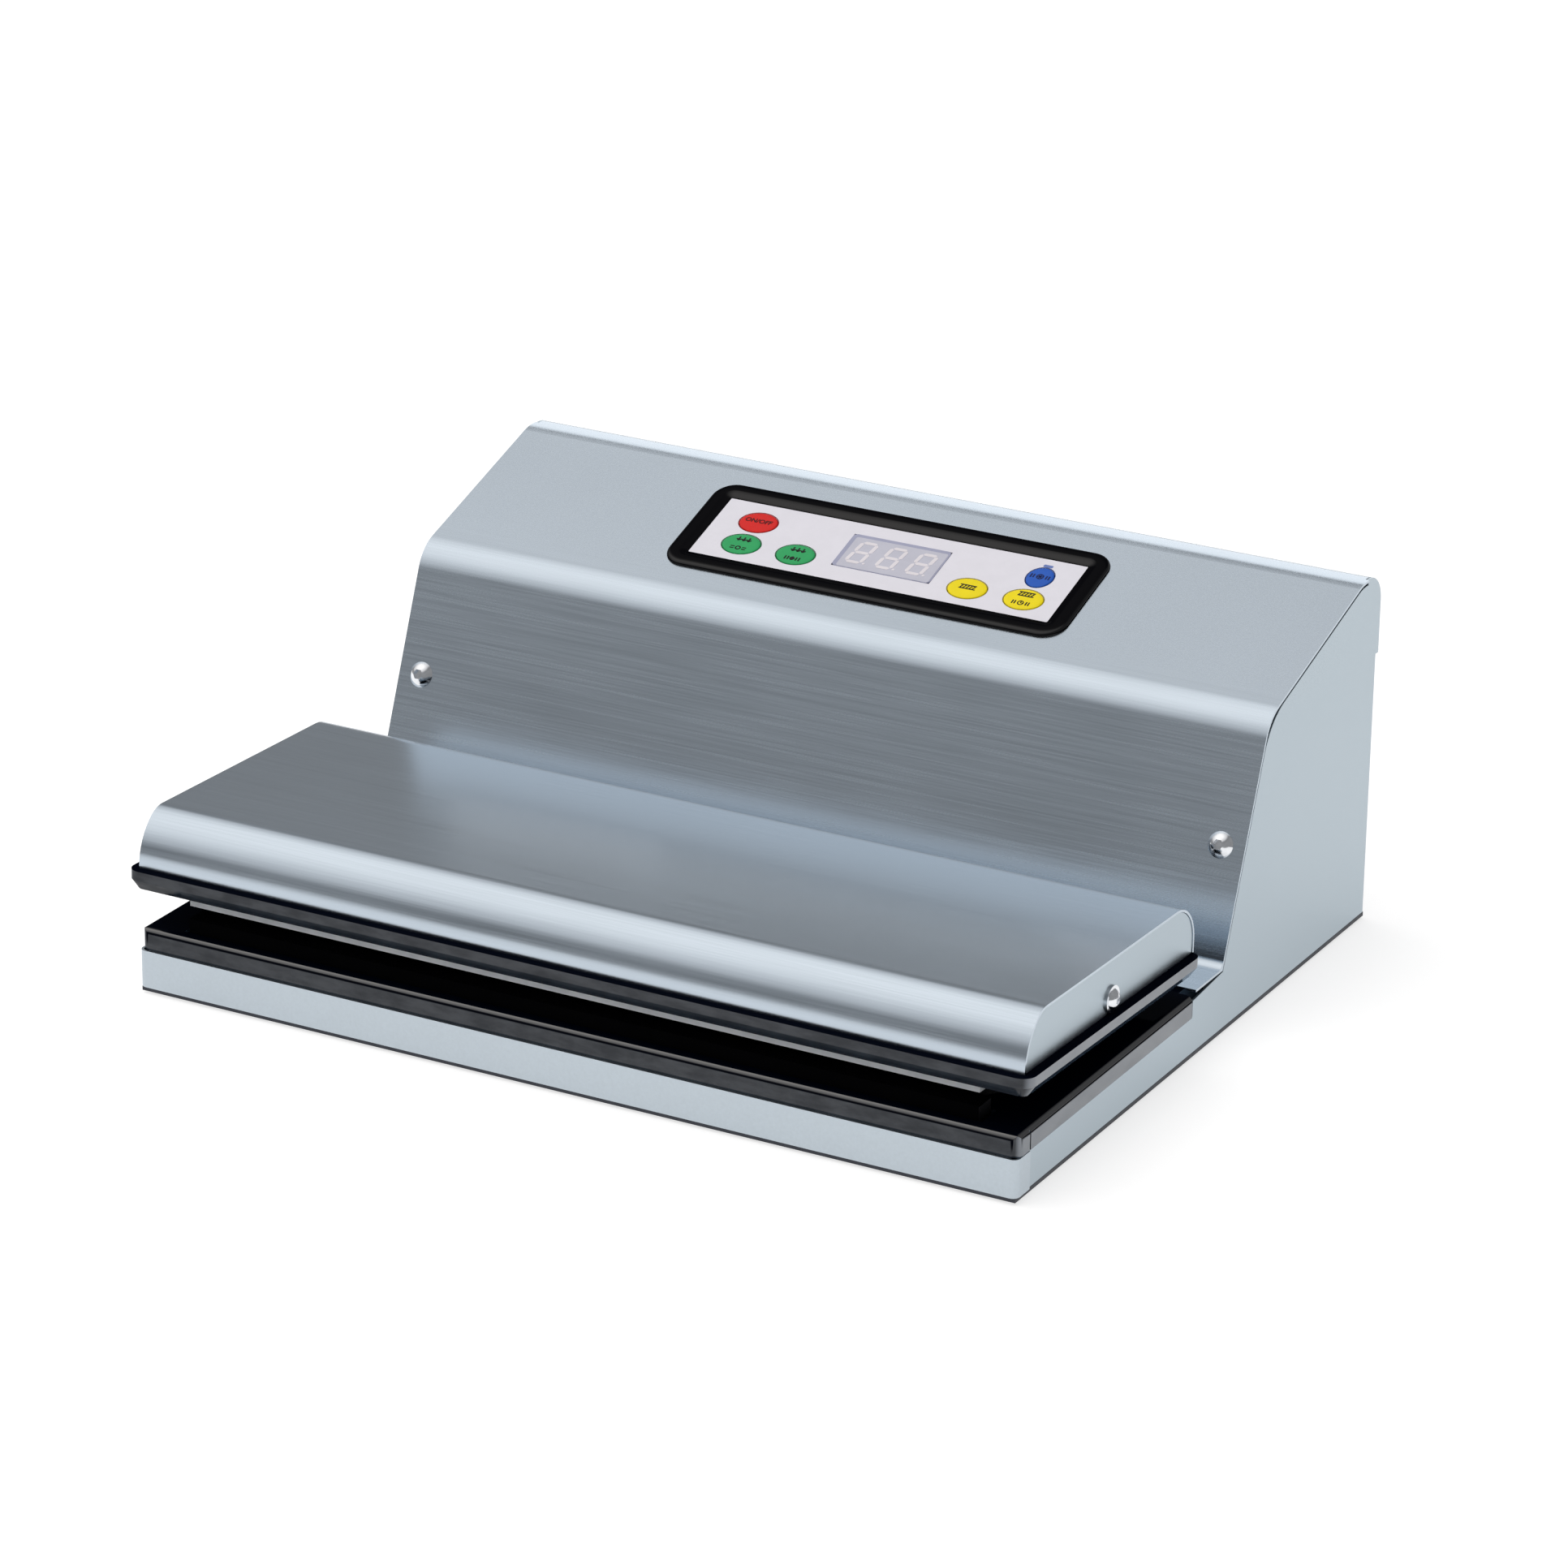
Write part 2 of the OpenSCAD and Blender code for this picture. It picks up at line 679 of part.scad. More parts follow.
module display_window() {
    color([0.85, 0.87, 0.93]) on_slope() translate([window_at[0], window_at[1], -1.4])
        linear_extrude(2.1) square([window_l, window_w], center = true);
}

module key_cap(i) {
    on_slope() translate([0, 0, -2.2]) linear_extrude(2.7 + key_proud) key_shape(i, 0);
}

module key_power() { color([0.82, 0.12, 0.12]) key_cap(0); }
module key_vacuum_auto() { color([0.1, 0.6, 0.3]) key_cap(1); }
module key_vacuum_manual() { color([0.1, 0.6, 0.3]) key_cap(2); }
module key_seal() { color([0.95, 0.9, 0.2]) key_cap(3); }
module key_seal_time() { color([0.95, 0.9, 0.2]) key_cap(4); }
module key_pump() { color([0.12, 0.35, 0.75]) key_cap(5); }

// ---- Rear ----

// Mains socket with a flange, a recess and a floor for its pins.
module power_inlet() {
    flange_t = 1.4;
    color(gloss_black) translate([inlet_at[0], back_y, inlet_at[1]]) rotate([-90, 180, 0]) difference() {
        union() {
            translate([0, 0, eps]) linear_extrude(flange_t - eps) rrect(48, 24, 4);
            translate([0, 0, -26]) linear_extrude(27) rrect(28, 20, 3);
        }
        translate([0, 0, -18]) linear_extrude(30) rrect(24, 16, 2);
        for (x = [-7, 0, 7]) translate([x, x == 0 ? 3 : -2, -40]) linear_extrude(30)
            square([2, 4], center = true);
        for (s = [-1, 1]) translate([s * 20, 0, -1]) cylinder(r = 1.6, h = 5);
    }
}

module inlet_pins() {
    color(bright_steel) translate([inlet_at[0], back_y, inlet_at[1]]) rotate([-90, 180, 0])
        for (x = [-7, 0, 7]) translate([x, x == 0 ? 3 : -2, -30]) linear_extrude(22)
            square([2, 4], center = true);
}

module rear_screws() {
    color(bright_steel) for (p = rear_screw_at) translate([p[0], back_y, p[1]]) rotate([-90, 0, 0]) {
        translate([0, 0, eps]) button_head(3.6, 1.4 - eps);
        translate([0, 0, -8]) cylinder(r = 1.75, h = 8.2);
    }
}

module bottom_screws() {
    color(bright_steel) for (p = bottom_screw_at) translate([p[0], p[1], foot_h]) rotate([180, 0, 0]) {
        translate([0, 0, eps]) button_head(3.6, foot_h * 0.8);
        translate([0, 0, -7]) cylinder(r = 1.95, h = 7.2);
    }
}

module face_screws() {
    color(bright_steel) for (s = [-1, 1]) on_face(s * face_screw_x) {
        translate([0, 0, eps]) button_head(face_head_r, 3.2);
        translate([0, 0, -12]) cylinder(r = 2.85, h = 12.5);
    }
}

// ---- Hinges ----

// Two ears on a pad for each hinge, bolted to the ledge.
module hinge_brackets() {
    pad_z = ledge_z + sheet_t;
    color(bright_steel) for (s = [-1, 1]) translate([s * hinge_x, 0, 0]) difference() {
        union() {
            block([-ear_x - ear_t, hinge_y - 7, pad_z], [ear_x + ear_t, hinge_y + 7, pad_z + 2]);
            for (e = [-1, 1]) along_x(e > 0 ? ear_x : -ear_x - ear_t, e > 0 ? ear_x + ear_t : -ear_x) {
                translate([hinge_y, hinge_z]) circle(r = 6);
                translate([hinge_y - 6, pad_z]) square([12, hinge_z - pad_z]);
            }
        }
        translate([0, hinge_y, hinge_z]) rotate([0, 90, 0])
            cylinder(r = pin_r, h = 60, center = true);
        for (e = [-1, 1]) translate([e * 5, hinge_y, pad_z - 1]) cylinder(r = 1.5, h = 4);
    }
}

module hinge_pins() {
    color(bright_steel) for (s = [-1, 1]) translate([s * hinge_x, hinge_y, hinge_z]) rotate([0, 90, 0]) {
        cylinder(r = pin_r, h = 2 * pin_half, center = true);
        for (e = [-1, 1]) translate([0, 0, e * (pin_half - 0.5)]) cylinder(r = 4.2, h = 1, center = true);
    }
}

// Close-wound coils on each pin, outside the ears, with one leg down to the ledge.
module hinge_springs() {
    color(steel) for (s = [-1, 1], e = [-1, 1]) translate([s * hinge_x, hinge_y, hinge_z]) {
        first = ear_x + ear_t + wire_r + 0.1;
        translate([e * first, 0, 0]) rotate([0, e * 90, 0]) difference() {
            union() {
                cylinder(r = coil_r + wire_r * 0.4, h = spring_turns * coil_pitch);
                for (i = [0:spring_turns - 1]) translate([0, 0, i * coil_pitch])
                    cylinder(r = coil_r + wire_r, h = coil_pitch * 0.7);
            }
            translate([0, 0, -1]) cylinder(r = coil_r - wire_r, h = 30);
        }
        translate([e * (first + wire_r), coil_r, ledge_z + sheet_t - hinge_z])
            cylinder(r = wire_r, h = hinge_z - ledge_z - sheet_t);
    }
}

// Knuckles around the pins, with arms and pads on the lid's back.
module hinge_leaves() {
    arm = 5;
    pad_y = lid_back_y + 2;
    color(bright_steel) lid_at_rest() for (s = [-1, 1]) translate([s * hinge_x, 0, 0]) difference() {
        union() {
            translate([0, hinge_y, hinge_z]) rotate([0, 90, 0])
                cylinder(r = arm, h = knuckle_w, center = true);
            block([-knuckle_w / 2, lid_back_y + 0.52, hinge_z + 0.5],
                [knuckle_w / 2, hinge_y, hinge_z + arm]);
            block([-knuckle_w / 2, lid_back_y + 0.52, hinge_z + 0.5], [knuckle_w / 2, pad_y, hinge_z + 12]);
            block([-14, lid_back_y + eps, lid_edge_z + 0.05], [14, pad_y, rivet_z + 3.3]);
        }
        translate([0, hinge_y, hinge_z]) rotate([0, 90, 0])
            cylinder(r = pin_r + pin_clear, h = 60, center = true);
        rivet_bores(1.6);
    }
}

// Rivet shanks, or their holes, about the middle of one hinge.
module rivet_bores(r) {
    for (e = [-1, 1]) translate([e * rivet_x, lid_back_y + 2.01, rivet_z]) rotate([90, 0, 0])
        cylinder(r = r, h = 2.02 + sheet_t);
}

module hinge_rivets() {
    color(bright_steel) lid_at_rest() for (s = [-1, 1]) translate([s * hinge_x, 0, 0]) {
        rivet_bores(1.55);
        for (e = [-1, 1]) translate([e * rivet_x, lid_back_y + 2 + eps, rivet_z]) rotate([-90, 0, 0])
            button_head(2.4, 1);
        for (e = [-1, 1]) translate([e * rivet_x, lid_back_y - sheet_t - eps, rivet_z]) rotate([90, 0, 0])
            cylinder(r = 2.2, h = 0.8);
    }
}

// ---- Lid ----

// Folded sheet with a short hem along its lower front and back edges.
module lid_cover() {
    hem = 5;
    hem_half = lid_half - 3;
    color(steel) lid_at_rest() difference() {
        union() {
            along_x(-lid_half, lid_half) difference() {
                rounded(lid_points, lid_radii);
                rounded_in(lid_points, lid_radii, sheet_t);
                translate([-200, 0]) square([220, lid_edge_z]);
            }
            block([-hem_half, lid_front_y + 0.5, lid_edge_z],
                [hem_half, lid_front_y + hem, lid_edge_z + sheet_t]);
            block([-hem_half, lid_back_y - hem, lid_edge_z],
                [hem_half, lid_back_y - 0.5, lid_edge_z + sheet_t]);
        }
        for (s = [-1, 1]) translate([s * hinge_x, 0, 0]) rivet_bores(1.6);
    }
}

// End plate, set just inside the cover, with a doubled patch behind its screw.
module lid_end(side) {
    outer = lid_half - 0.3;
    patch = 7;
    color(steel) lid_at_rest() mirror([side < 0 ? 1 : 0, 0, 0]) difference() {
        union() {
            along_x(outer - sheet_t, outer) intersection() {
                rounded_in(lid_points, lid_radii, sheet_t + 0.1);
                translate([-200, lid_edge_z + 0.05]) square([220, 60]);
            }
            block([outer - 1.5 * sheet_t, lid_screw_at[0] - patch, lid_screw_at[1] + patch],
                [outer - 0.1, lid_screw_at[0] + patch, lid_screw_at[1] + 2 * patch]);
        }
        translate([outer, lid_screw_at[0], lid_screw_at[1]]) rotate([0, 90, 0])
            cylinder(r = 2.2, h = 10, center = true);
    }
}

module lid_end_left() { lid_end(-1); }
module lid_end_right() { lid_end(1); }

// Black tray under the cover: a lip, a stepped body, a hollow and two seats.
module lid_tray() {
    lip_half = lid_half + lip_out;
    lip_front = lid_front_y - lip_out;
    lip_back = lid_back_y + 0.5;
    mid = (lip_front + lip_back) / 2;
    long = lip_back - lip_front;
    trough_mid = (trough_front_y + trough_back_y) / 2;
    boss = 6;
    color(gloss_black) lid_at_rest() difference() {
        union() {
            translate([0, mid, lip_z]) linear_extrude(lid_edge_z - lip_z)
                rrect(2 * lip_half, long, tray_r);
            translate([0, mid, tray_z])
                drafted(2 * (lip_half - draft_in), long - 2 * draft_in, tray_r - draft_in, draft_in,
                    lip_z - tray_z + eps);
            translate([0, trough_mid, lid_edge_z - eps]) linear_extrude(tray_z + lid_hollow_h + 2 - lid_edge_z)
                trough_plan(2);
            for (s = [-1, 1]) translate([s * (lid_half - 0.3 - sheet_t - boss / 2), lid_screw_at[0],
                lid_edge_z - eps + boss]) cube([boss - 0.1, 40, 2 * boss], center = true);
        }
        translate([0, trough_mid, tray_z - 1]) linear_extrude(lid_hollow_h + 1) trough_plan(0);
        translate([0, trough_mid, tray_z - 1]) linear_extrude(gasket_seat + 1) gasket_plan();
        block([-bar_l / 2 - 0.1, bar_y - silicone_w / 2 - 0.1, tray_z - 1],
            [bar_l / 2 + 0.1, bar_y + silicone_w / 2 + 0.1, tray_z + 5]);
        translate([0, lid_screw_at[0], lid_screw_at[1]]) rotate([0, 90, 0])
            cylinder(r = 2.1, h = 2 * lid_half, center = true);
    }
}

module lid_gasket() {
    low = plate_top_z + gasket_h + gasket_meet;
    color(foam_black) lid_at_rest() translate([0, (trough_front_y + trough_back_y) / 2, low])
        linear_extrude(tray_z + gasket_seat - low - eps) gasket_plan();
}

module silicone_bar() {
    color(off_white) lid_at_rest() block([-bar_l / 2, bar_y - silicone_w / 2, bar_top_z + meet_gap],
        [bar_l / 2, bar_y + silicone_w / 2, tray_z + 4.9]);
}

// Folded channel that keeps the cover straight, under its top.
module lid_stiffener() {
    top = lid_top_z - sheet_t - eps;
    color(steel) lid_at_rest() difference() {
        block([-170, -100, tray_z + lid_hollow_h + 2.2], [170, -70, top]);
        block([-171, -100 + sheet_t, 0], [171, -70 - sheet_t, top - sheet_t]);
    }
}

module lid_screws() {
    outer = lid_half - 0.3 + 1;
    color(bright_steel) lid_at_rest() for (s = [-1, 1]) mirror([s < 0 ? 1 : 0, 0, 0])
        translate([outer, lid_screw_at[0], lid_screw_at[1]]) rotate([0, 90, 0]) {
            translate([0, 0, eps]) button_head(4.2, 2.4);
            translate([0, 0, -9]) cylinder(r = 2, h = 9.2);
        }
}

module lid_washers() {
    outer = lid_half - 0.3;
    color(bright_steel) lid_at_rest() for (s = [-1, 1]) mirror([s < 0 ? 1 : 0, 0, 0])
        translate([outer + eps, lid_screw_at[0], lid_screw_at[1]]) rotate([0, 90, 0]) difference() {
            cylinder(r = washer_r, h = 1 - eps);
            translate([0, 0, -1]) cylinder(r = 2.2, h = 4);
        }
}

bottom_plate();
base_tray();
side_plate_left();
side_plate_right();
front_panel();
rear_panel();
rubber_feet();
chamber_plate();
lower_gasket();
seal_bar();
heater_wire();
bar_tape();
vacuum_port();
vacuum_hose();
release_valve();
vacuum_pump();
pump_motor();
transformer();
power_board();
control_board();
display_module();
display_window();
bezel();
key_panel();
key_power();
key_vacuum_auto();
key_vacuum_manual();
key_seal();
key_seal_time();
key_pump();
power_inlet();
inlet_pins();
lid_switch();
hinge_brackets();
hinge_pins();
hinge_springs();
face_screws();
rear_screws();
bottom_screws();
lid_cover();
lid_end_left();
lid_end_right();
lid_tray();
lid_gasket();
silicone_bar();
lid_stiffener();
hinge_leaves();
hinge_rivets();
lid_screws();
lid_washers();
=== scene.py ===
"""Looks for a countertop bar vacuum sealer: its finishes, its finer pieces and a plain studio.

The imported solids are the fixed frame. Sheets, trays and foam rings are softened copies of their
solids, the control panel is modelled anew, and every other solid keeps its shape and gets its finish.
"""

from __future__ import annotations

import logging
import math
from contextlib import contextmanager
from dataclasses import dataclass, field
from enum import Enum
from typing import ClassVar, Iterator

import bmesh
import bpy
from mathutils import Matrix, Vector


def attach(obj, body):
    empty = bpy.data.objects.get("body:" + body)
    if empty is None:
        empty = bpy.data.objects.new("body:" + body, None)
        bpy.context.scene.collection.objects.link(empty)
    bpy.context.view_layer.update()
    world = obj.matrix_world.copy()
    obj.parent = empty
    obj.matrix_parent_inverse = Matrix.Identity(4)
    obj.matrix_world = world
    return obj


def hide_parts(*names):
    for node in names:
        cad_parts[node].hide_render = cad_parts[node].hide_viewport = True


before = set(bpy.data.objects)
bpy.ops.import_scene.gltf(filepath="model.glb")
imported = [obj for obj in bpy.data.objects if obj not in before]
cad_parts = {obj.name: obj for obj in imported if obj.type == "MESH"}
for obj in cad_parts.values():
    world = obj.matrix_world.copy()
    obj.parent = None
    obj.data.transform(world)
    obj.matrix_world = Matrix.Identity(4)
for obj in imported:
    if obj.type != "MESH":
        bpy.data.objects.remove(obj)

Node = bpy.types.Node
Socket = bpy.types.NodeSocket
Piece = bpy.types.Object
Pair = tuple[float, float]
Place = tuple[float, float, float]
Patch = tuple[float, float, float, float]  # a flat piece's middle and size
Colour = tuple[float, float, float, float]
Profile = tuple[Pair, ...]

MM = 0.001
LOG = logging.getLogger("sealer")
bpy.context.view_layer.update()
WHITE = (1.0, 1.0, 1.0, 1.0)
TOUCH = 1e-6  # places this close together, in metres, count as one


# ---- Shader maths ----


class Graph:
    """The node tree of one material or world, and the one way in which its nodes are added."""

    def __init__(self, tree: bpy.types.NodeTree) -> None:
        """Empties a node tree and keeps it.

        Args:
            tree: The tree to build in.
        """
        tree.nodes.clear()
        self.tree = tree

    def add(self, kind: str, settings: dict | None = None, values: dict | None = None) -> Node:
        """Adds a node, sets it up, then fills its sockets.

        Args:
            kind: The node's type.
            settings: Attributes to set first.
            values: Numbers, colours or links, by socket name or number.

        Returns:
            The new node.
        """
        node = self.tree.nodes.new(kind)
        for key, value in (settings or {}).items():
            setattr(node, key, value)
        self.fill(node, values or {})
        return node

    def fill(self, node: Node, values: dict) -> None:
        """Sets or links a node's sockets.

        Args:
            node: The node.
            values: Numbers, colours or links, by socket name or number.
        """
        for key, value in values.items():
            source = value.socket if isinstance(value, Number) else value
            if isinstance(source, Socket):
                self.tree.links.new(source, node.inputs[key])
            else:
                node.inputs[key].default_value = source

    def number(self, node: Node, output: int | str = 0) -> Number:
        """Wraps one output of a node as a number.

        Args:
            node: The node.
            output: Which of its outputs.

        Returns:
            The output, ready for arithmetic.
        """
        return Number(self, node.outputs[output])

    def noise(self, at: Socket, scale: Place, detail: float = 2.0) -> Number:
        """Adds a noise pattern, with its own scale along each axis.

        Args:
            at: The coordinates.
            scale: Repeats a metre along each axis.
            detail: How many finer layers it has.

        Returns:
            The noise, from 0 to 1.
        """
        spot = self.add("ShaderNodeMapping", None, {"Vector": at, "Scale": scale})
        grain = self.add("ShaderNodeTexNoise", None, {"Vector": spot.outputs[0], "Scale": 1.0,
                                                      "Detail": detail, "Roughness": 0.6})
        return self.number(grain)

    def blend(self, factor: Number, low: Colour, high: Colour) -> Socket:
        """Mixes two colours.

        Args:
            factor: How much of the second colour.
            low: The first colour.
            high: The second colour.

        Returns:
            The mixed colour.
        """
        mix = self.add("ShaderNodeMix", {"data_type": "RGBA"}, {"Factor": factor, 6: low, 7: high})
        return mix.outputs[2]

    def bump(self, height: Number, strength: float, distance: float) -> Socket:
        """Turns a height into a normal.

        Args:
            height: The height pattern.
            strength: How strongly it shows, up to 1.
            distance: How tall it is, in metres.

        Returns:
            The bumped normal.
        """
        values = {"Strength": strength, "Distance": distance, "Height": height}
        return self.add("ShaderNodeBump", None, values).outputs[0]


class Number:
    """A value in a shader. Arithmetic on it adds Math nodes."""

    def __init__(self, graph: Graph, socket: Socket) -> None:
        """Keeps a socket and its graph.

        Args:
            graph: The graph that new nodes join.
            socket: The output that holds the value.
        """
        self.graph = graph
        self.socket = socket

    def math(self, operation: str, *others: object, first: bool = True) -> Number:
        """Adds one Math node.

        Args:
            operation: The node's operation.
            others: The other operands.
            first: Whether this value is the first operand.

        Returns:
            The result.
        """
        operands = (self, *others) if first else (*others, self)
        node = self.graph.add("ShaderNodeMath", {"operation": operation}, dict(enumerate(operands)))
        return Number(self.graph, node.outputs[0])

    def __add__(self, other: object) -> Number:
        """Returns the sum."""
        return self.math("ADD", other)

    def __sub__(self, other: object) -> Number:
        """Returns the difference."""
        return self.math("SUBTRACT", other)

    def __rsub__(self, other: object) -> Number:
        """Returns the reflected difference."""
        return self.math("SUBTRACT", other, first=False)

    def __mul__(self, other: object) -> Number:
        """Returns the product."""
        return self.math("MULTIPLY", other)

    def step(self, low: float, high: float) -> Number:
        """Ramps smoothly from 0 at one value to 1 at another.

        Args:
            low: Where the ramp begins.
            high: Where it ends.

        Returns:
            The ramp.
        """
        node = self.graph.add("ShaderNodeMapRange", {"interpolation_type": "SMOOTHSTEP"},
                              {"Value": self, "From Min": low, "From Max": high})
        return Number(self.graph, node.outputs[0])


def new_material(name: str) -> tuple[bpy.types.Material, Graph]:
    """Adds a material with an empty node tree.

    Args:
        name: The material's name.

    Returns:
        The material and its graph.
    """
    material = bpy.data.materials.new(name)
    material.use_nodes = True
    return material, Graph(material.node_tree)


def srgb(red: int, green: int, blue: int) -> Colour:
    """Turns a display colour into a linear one.

    Args:
        red: Red, from 0 to 255.
        green: Green, from 0 to 255.
        blue: Blue, from 0 to 255.

    Returns:
        The linear colour with an alpha of 1.
    """
    parts = [c / 255 for c in (red, green, blue)]
    return (*[c / 12.92 if c <= 0.04045 else ((c + 0.055) / 1.055) ** 2.4 for c in parts], 1.0)


def shade(colour: Colour, factor: float) -> Colour:
    """Returns a linear colour made darker or lighter by a factor."""
    return (*[min(c * factor, 1.0) for c in colour[:3]], 1.0)


# ---- Finishes ----


class Grain(Enum):
    """The way a brushed surface's lines run, as repeats a metre along each axis."""

    ALONG_X = (14, 1500, 1500)
    NONE = (700, 700, 700)


# Repeats a metre of the patterns that the finishes use
CLOUDS = (11, 11, 11)
GRIT = (1300, 1900, 1900)
SMEARS = (260, 260, 260)
WAVES = (28, 28, 60)
DUST = (900, 900, 900)
MOTTLES = (70, 70, 200)
PATCHES = (60, 60, 60)
INK_BLOTS = (120, 120, 120)
TOOTH = (2500, 2500, 2500)


@dataclass(frozen=True)
class Finish:
    """What every finish has: a name, a colour and a roughness."""

    name: str
    colour: Colour
    roughness: float
    made: ClassVar[dict[str, bpy.types.Material]] = {}

    def material(self) -> bpy.types.Material:
        """Builds the material once.

        Returns:
            The finish's material.
        """
        if self.name not in self.made:
            material, graph = new_material(self.name)
            shader = graph.add("ShaderNodeBsdfPrincipled")
            graph.add("ShaderNodeOutputMaterial", None, {"Surface": shader.outputs[0]})
            at = graph.add("ShaderNodeTexCoord").outputs["Object"]
            self.dress(graph, shader, at)
            self.made[self.name] = material
        return self.made[self.name]

    def dress(self, graph: Graph, shader: Node, at: Socket) -> None:
        """Fills the shader; each kind of finish has its own way.

        Args:
            graph: The material's graph.
            shader: Its Principled shader.
            at: Object coordinates.
        """
        raise NotImplementedError


@dataclass(frozen=True)
class BrushedSteel(Finish):
    """Sheet steel with fine lines from a belt, slow clouds and a soft sheen.

    Above the height sanded_above, in metres, the lines give way to the grit of an orbital sander.
    """

    grain: Grain
    lines: float
    contrast: float
    sanded_above: float | None = None

    def dress(self, graph: Graph, shader: Node, at: Socket) -> None:
        """Lays fine lines over broad ones. See Finish.dress.

        Args:
            graph: The material's graph.
            shader: Its Principled shader.
            at: Object coordinates.
        """
        across = self.grain.value
        long_axis, coarser = 100, 0.3
        fine = graph.noise(at, across)
        broad = graph.noise(at, tuple(v * coarser if v > long_axis else v for v in across))
        if self.sanded_above is not None:
            blend_band = 3 * MM
            height = graph.number(graph.add("ShaderNodeSeparateXYZ", None, {0: at}), 2)
            sanded = height.step(self.sanded_above - blend_band, self.sanded_above + blend_band)
            grit = graph.noise(at, GRIT)
            fine = fine + sanded * (grit - fine)
            broad = broad + sanded * (grit * 0.5 + 0.25 - broad)
        tone = fine * 0.55 + broad * 0.25 + graph.noise(at, CLOUDS) * 0.2
        part = tone.step(0.25, 0.75)
        dark = shade(self.colour, 1 - self.contrast / 2)
        light = shade(self.colour, 1 + self.contrast / 2)
        graph.fill(shader, {
            "Base Color": graph.blend(part, dark, light),
            "Metallic": 1.0,
            "Roughness": part * 0.1 + (self.roughness - 0.05),
            "Normal": graph.bump(fine * 0.7 + broad * 0.3, self.lines, 0.2 * MM)})


@dataclass(frozen=True)
class BrightMetal(Finish):
    """Plated or turned metal with faint handling marks."""

    def dress(self, graph: Graph, shader: Node, at: Socket) -> None:
        """Lays faint smears over a bright metal. See Finish.dress.

        Args:
            graph: The material's graph.
            shader: Its Principled shader.
            at: Object coordinates.
        """
        smear = graph.noise(at, SMEARS, 4.0)
        part = smear.step(0.3, 0.7)
        graph.fill(shader, {
            "Base Color": graph.blend(part, shade(self.colour, 0.88), self.colour),
            "Metallic": 1.0,
            "Roughness": part * 0.1 + self.roughness,
            "Normal": graph.bump(smear, 0.08, 0.1 * MM)})


@dataclass(frozen=True)
class GlossPlastic(Finish):
    """Moulded plastic with a skin that shows a little waviness and fine dust."""

    wave: float = 0.04

    def skin(self, graph: Graph, at: Socket, dust: Number) -> dict:
        """Makes the roughness and the normal that every moulded skin has.

        Args:
            graph: The material's graph.
            at: Object coordinates.
            dust: The dust pattern.

        Returns:
            Links by the shader's socket names.
        """
        return {"Roughness": dust.step(0.3, 0.7) * 0.06 + self.roughness,
                "Normal": graph.bump(graph.noise(at, WAVES), self.wave, 1.5 * MM)}

    def dress(self, graph: Graph, shader: Node, at: Socket) -> None:
        """Lays a slow waviness and fine dust under a gloss. See Finish.dress.

        Args:
            graph: The material's graph.
            shader: Its Principled shader.
            at: Object coordinates.
        """
        dust = graph.noise(at, DUST)
        dusty = shade(self.colour, 1.5)
        graph.fill(shader, {**self.skin(graph, at, dust),
                            "Base Color": graph.blend(dust.step(0.35, 0.75), self.colour, dusty)})


@dataclass(frozen=True)
class TrayPlastic(GlossPlastic):
    """Black plastic whose shine depends on the way it faces, for the trays and the bezel.

    It is deep black where it lies flat, mottled like dust on its walls and glossy along its rims. Its ends,
    and faintly and in mottles its walls, carry a painted reflection: a pale blue in the base colour that
    stands in for a bright floor mirrored there. The weights of its coat are for walls that face sideways,
    for those that face the front, and for flat faces.
    """

    sides: float = 1.0
    front: float = 0.26
    flat: float = 0.01
    # Pale blue painted into the ends' base colour: a painted reflection of a bright floor.
    painted_reflection: Colour = (0.08, 0.125, 0.19, 1.0)

    def dress(self, graph: Graph, shader: Node, at: Socket) -> None:
        """Lays a coat by the way each wall faces, with a painted blue reflection on the ends and a faint
        mottled one on the walls. See Finish.dress.

        Args:
            graph: The material's graph.
            shader: Its Principled shader.
            at: Object coordinates.
        """
        normal = graph.add("ShaderNodeTexCoord").outputs["Normal"]
        facing = graph.add("ShaderNodeSeparateXYZ", None, {0: normal})
        ends = graph.number(facing, 0).math("ABSOLUTE").step(0.45, 0.95)
        upward = graph.number(facing, 2)
        rim = upward.step(0.3, 0.45) * (1 - upward.step(0.76, 0.9))
        mottled = graph.noise(at, MOTTLES, 4.0).step(0.3, 0.7) * 0.5 + 0.75
        upright = (1 - upward.step(0.05, 0.2)) * (1 - (upward * -1.0).step(0.5, 0.9))
        wall = upright * mottled * (self.front - self.flat) + self.flat
        coat = (ends * upright).math("MAXIMUM", rim) * (self.sides - self.front) + wall
        # Painted reflection: the ends, and the walls faintly in mottles, blend towards a pale blue that
        # stands in for the bright floor mirrored in them.
        painted_reflection_and_mottle = upright * (ends * 0.85 + mottled * 0.15)
        graph.fill(shader, {
            **self.skin(graph, at, graph.noise(at, DUST)),
            "Base Color": graph.blend(painted_reflection_and_mottle, self.colour, self.painted_reflection),
            "Specular IOR Level": 0.0,
            "Coat Weight": coat,
            "Coat Roughness": 0.07,
            "Coat IOR": 2.4})


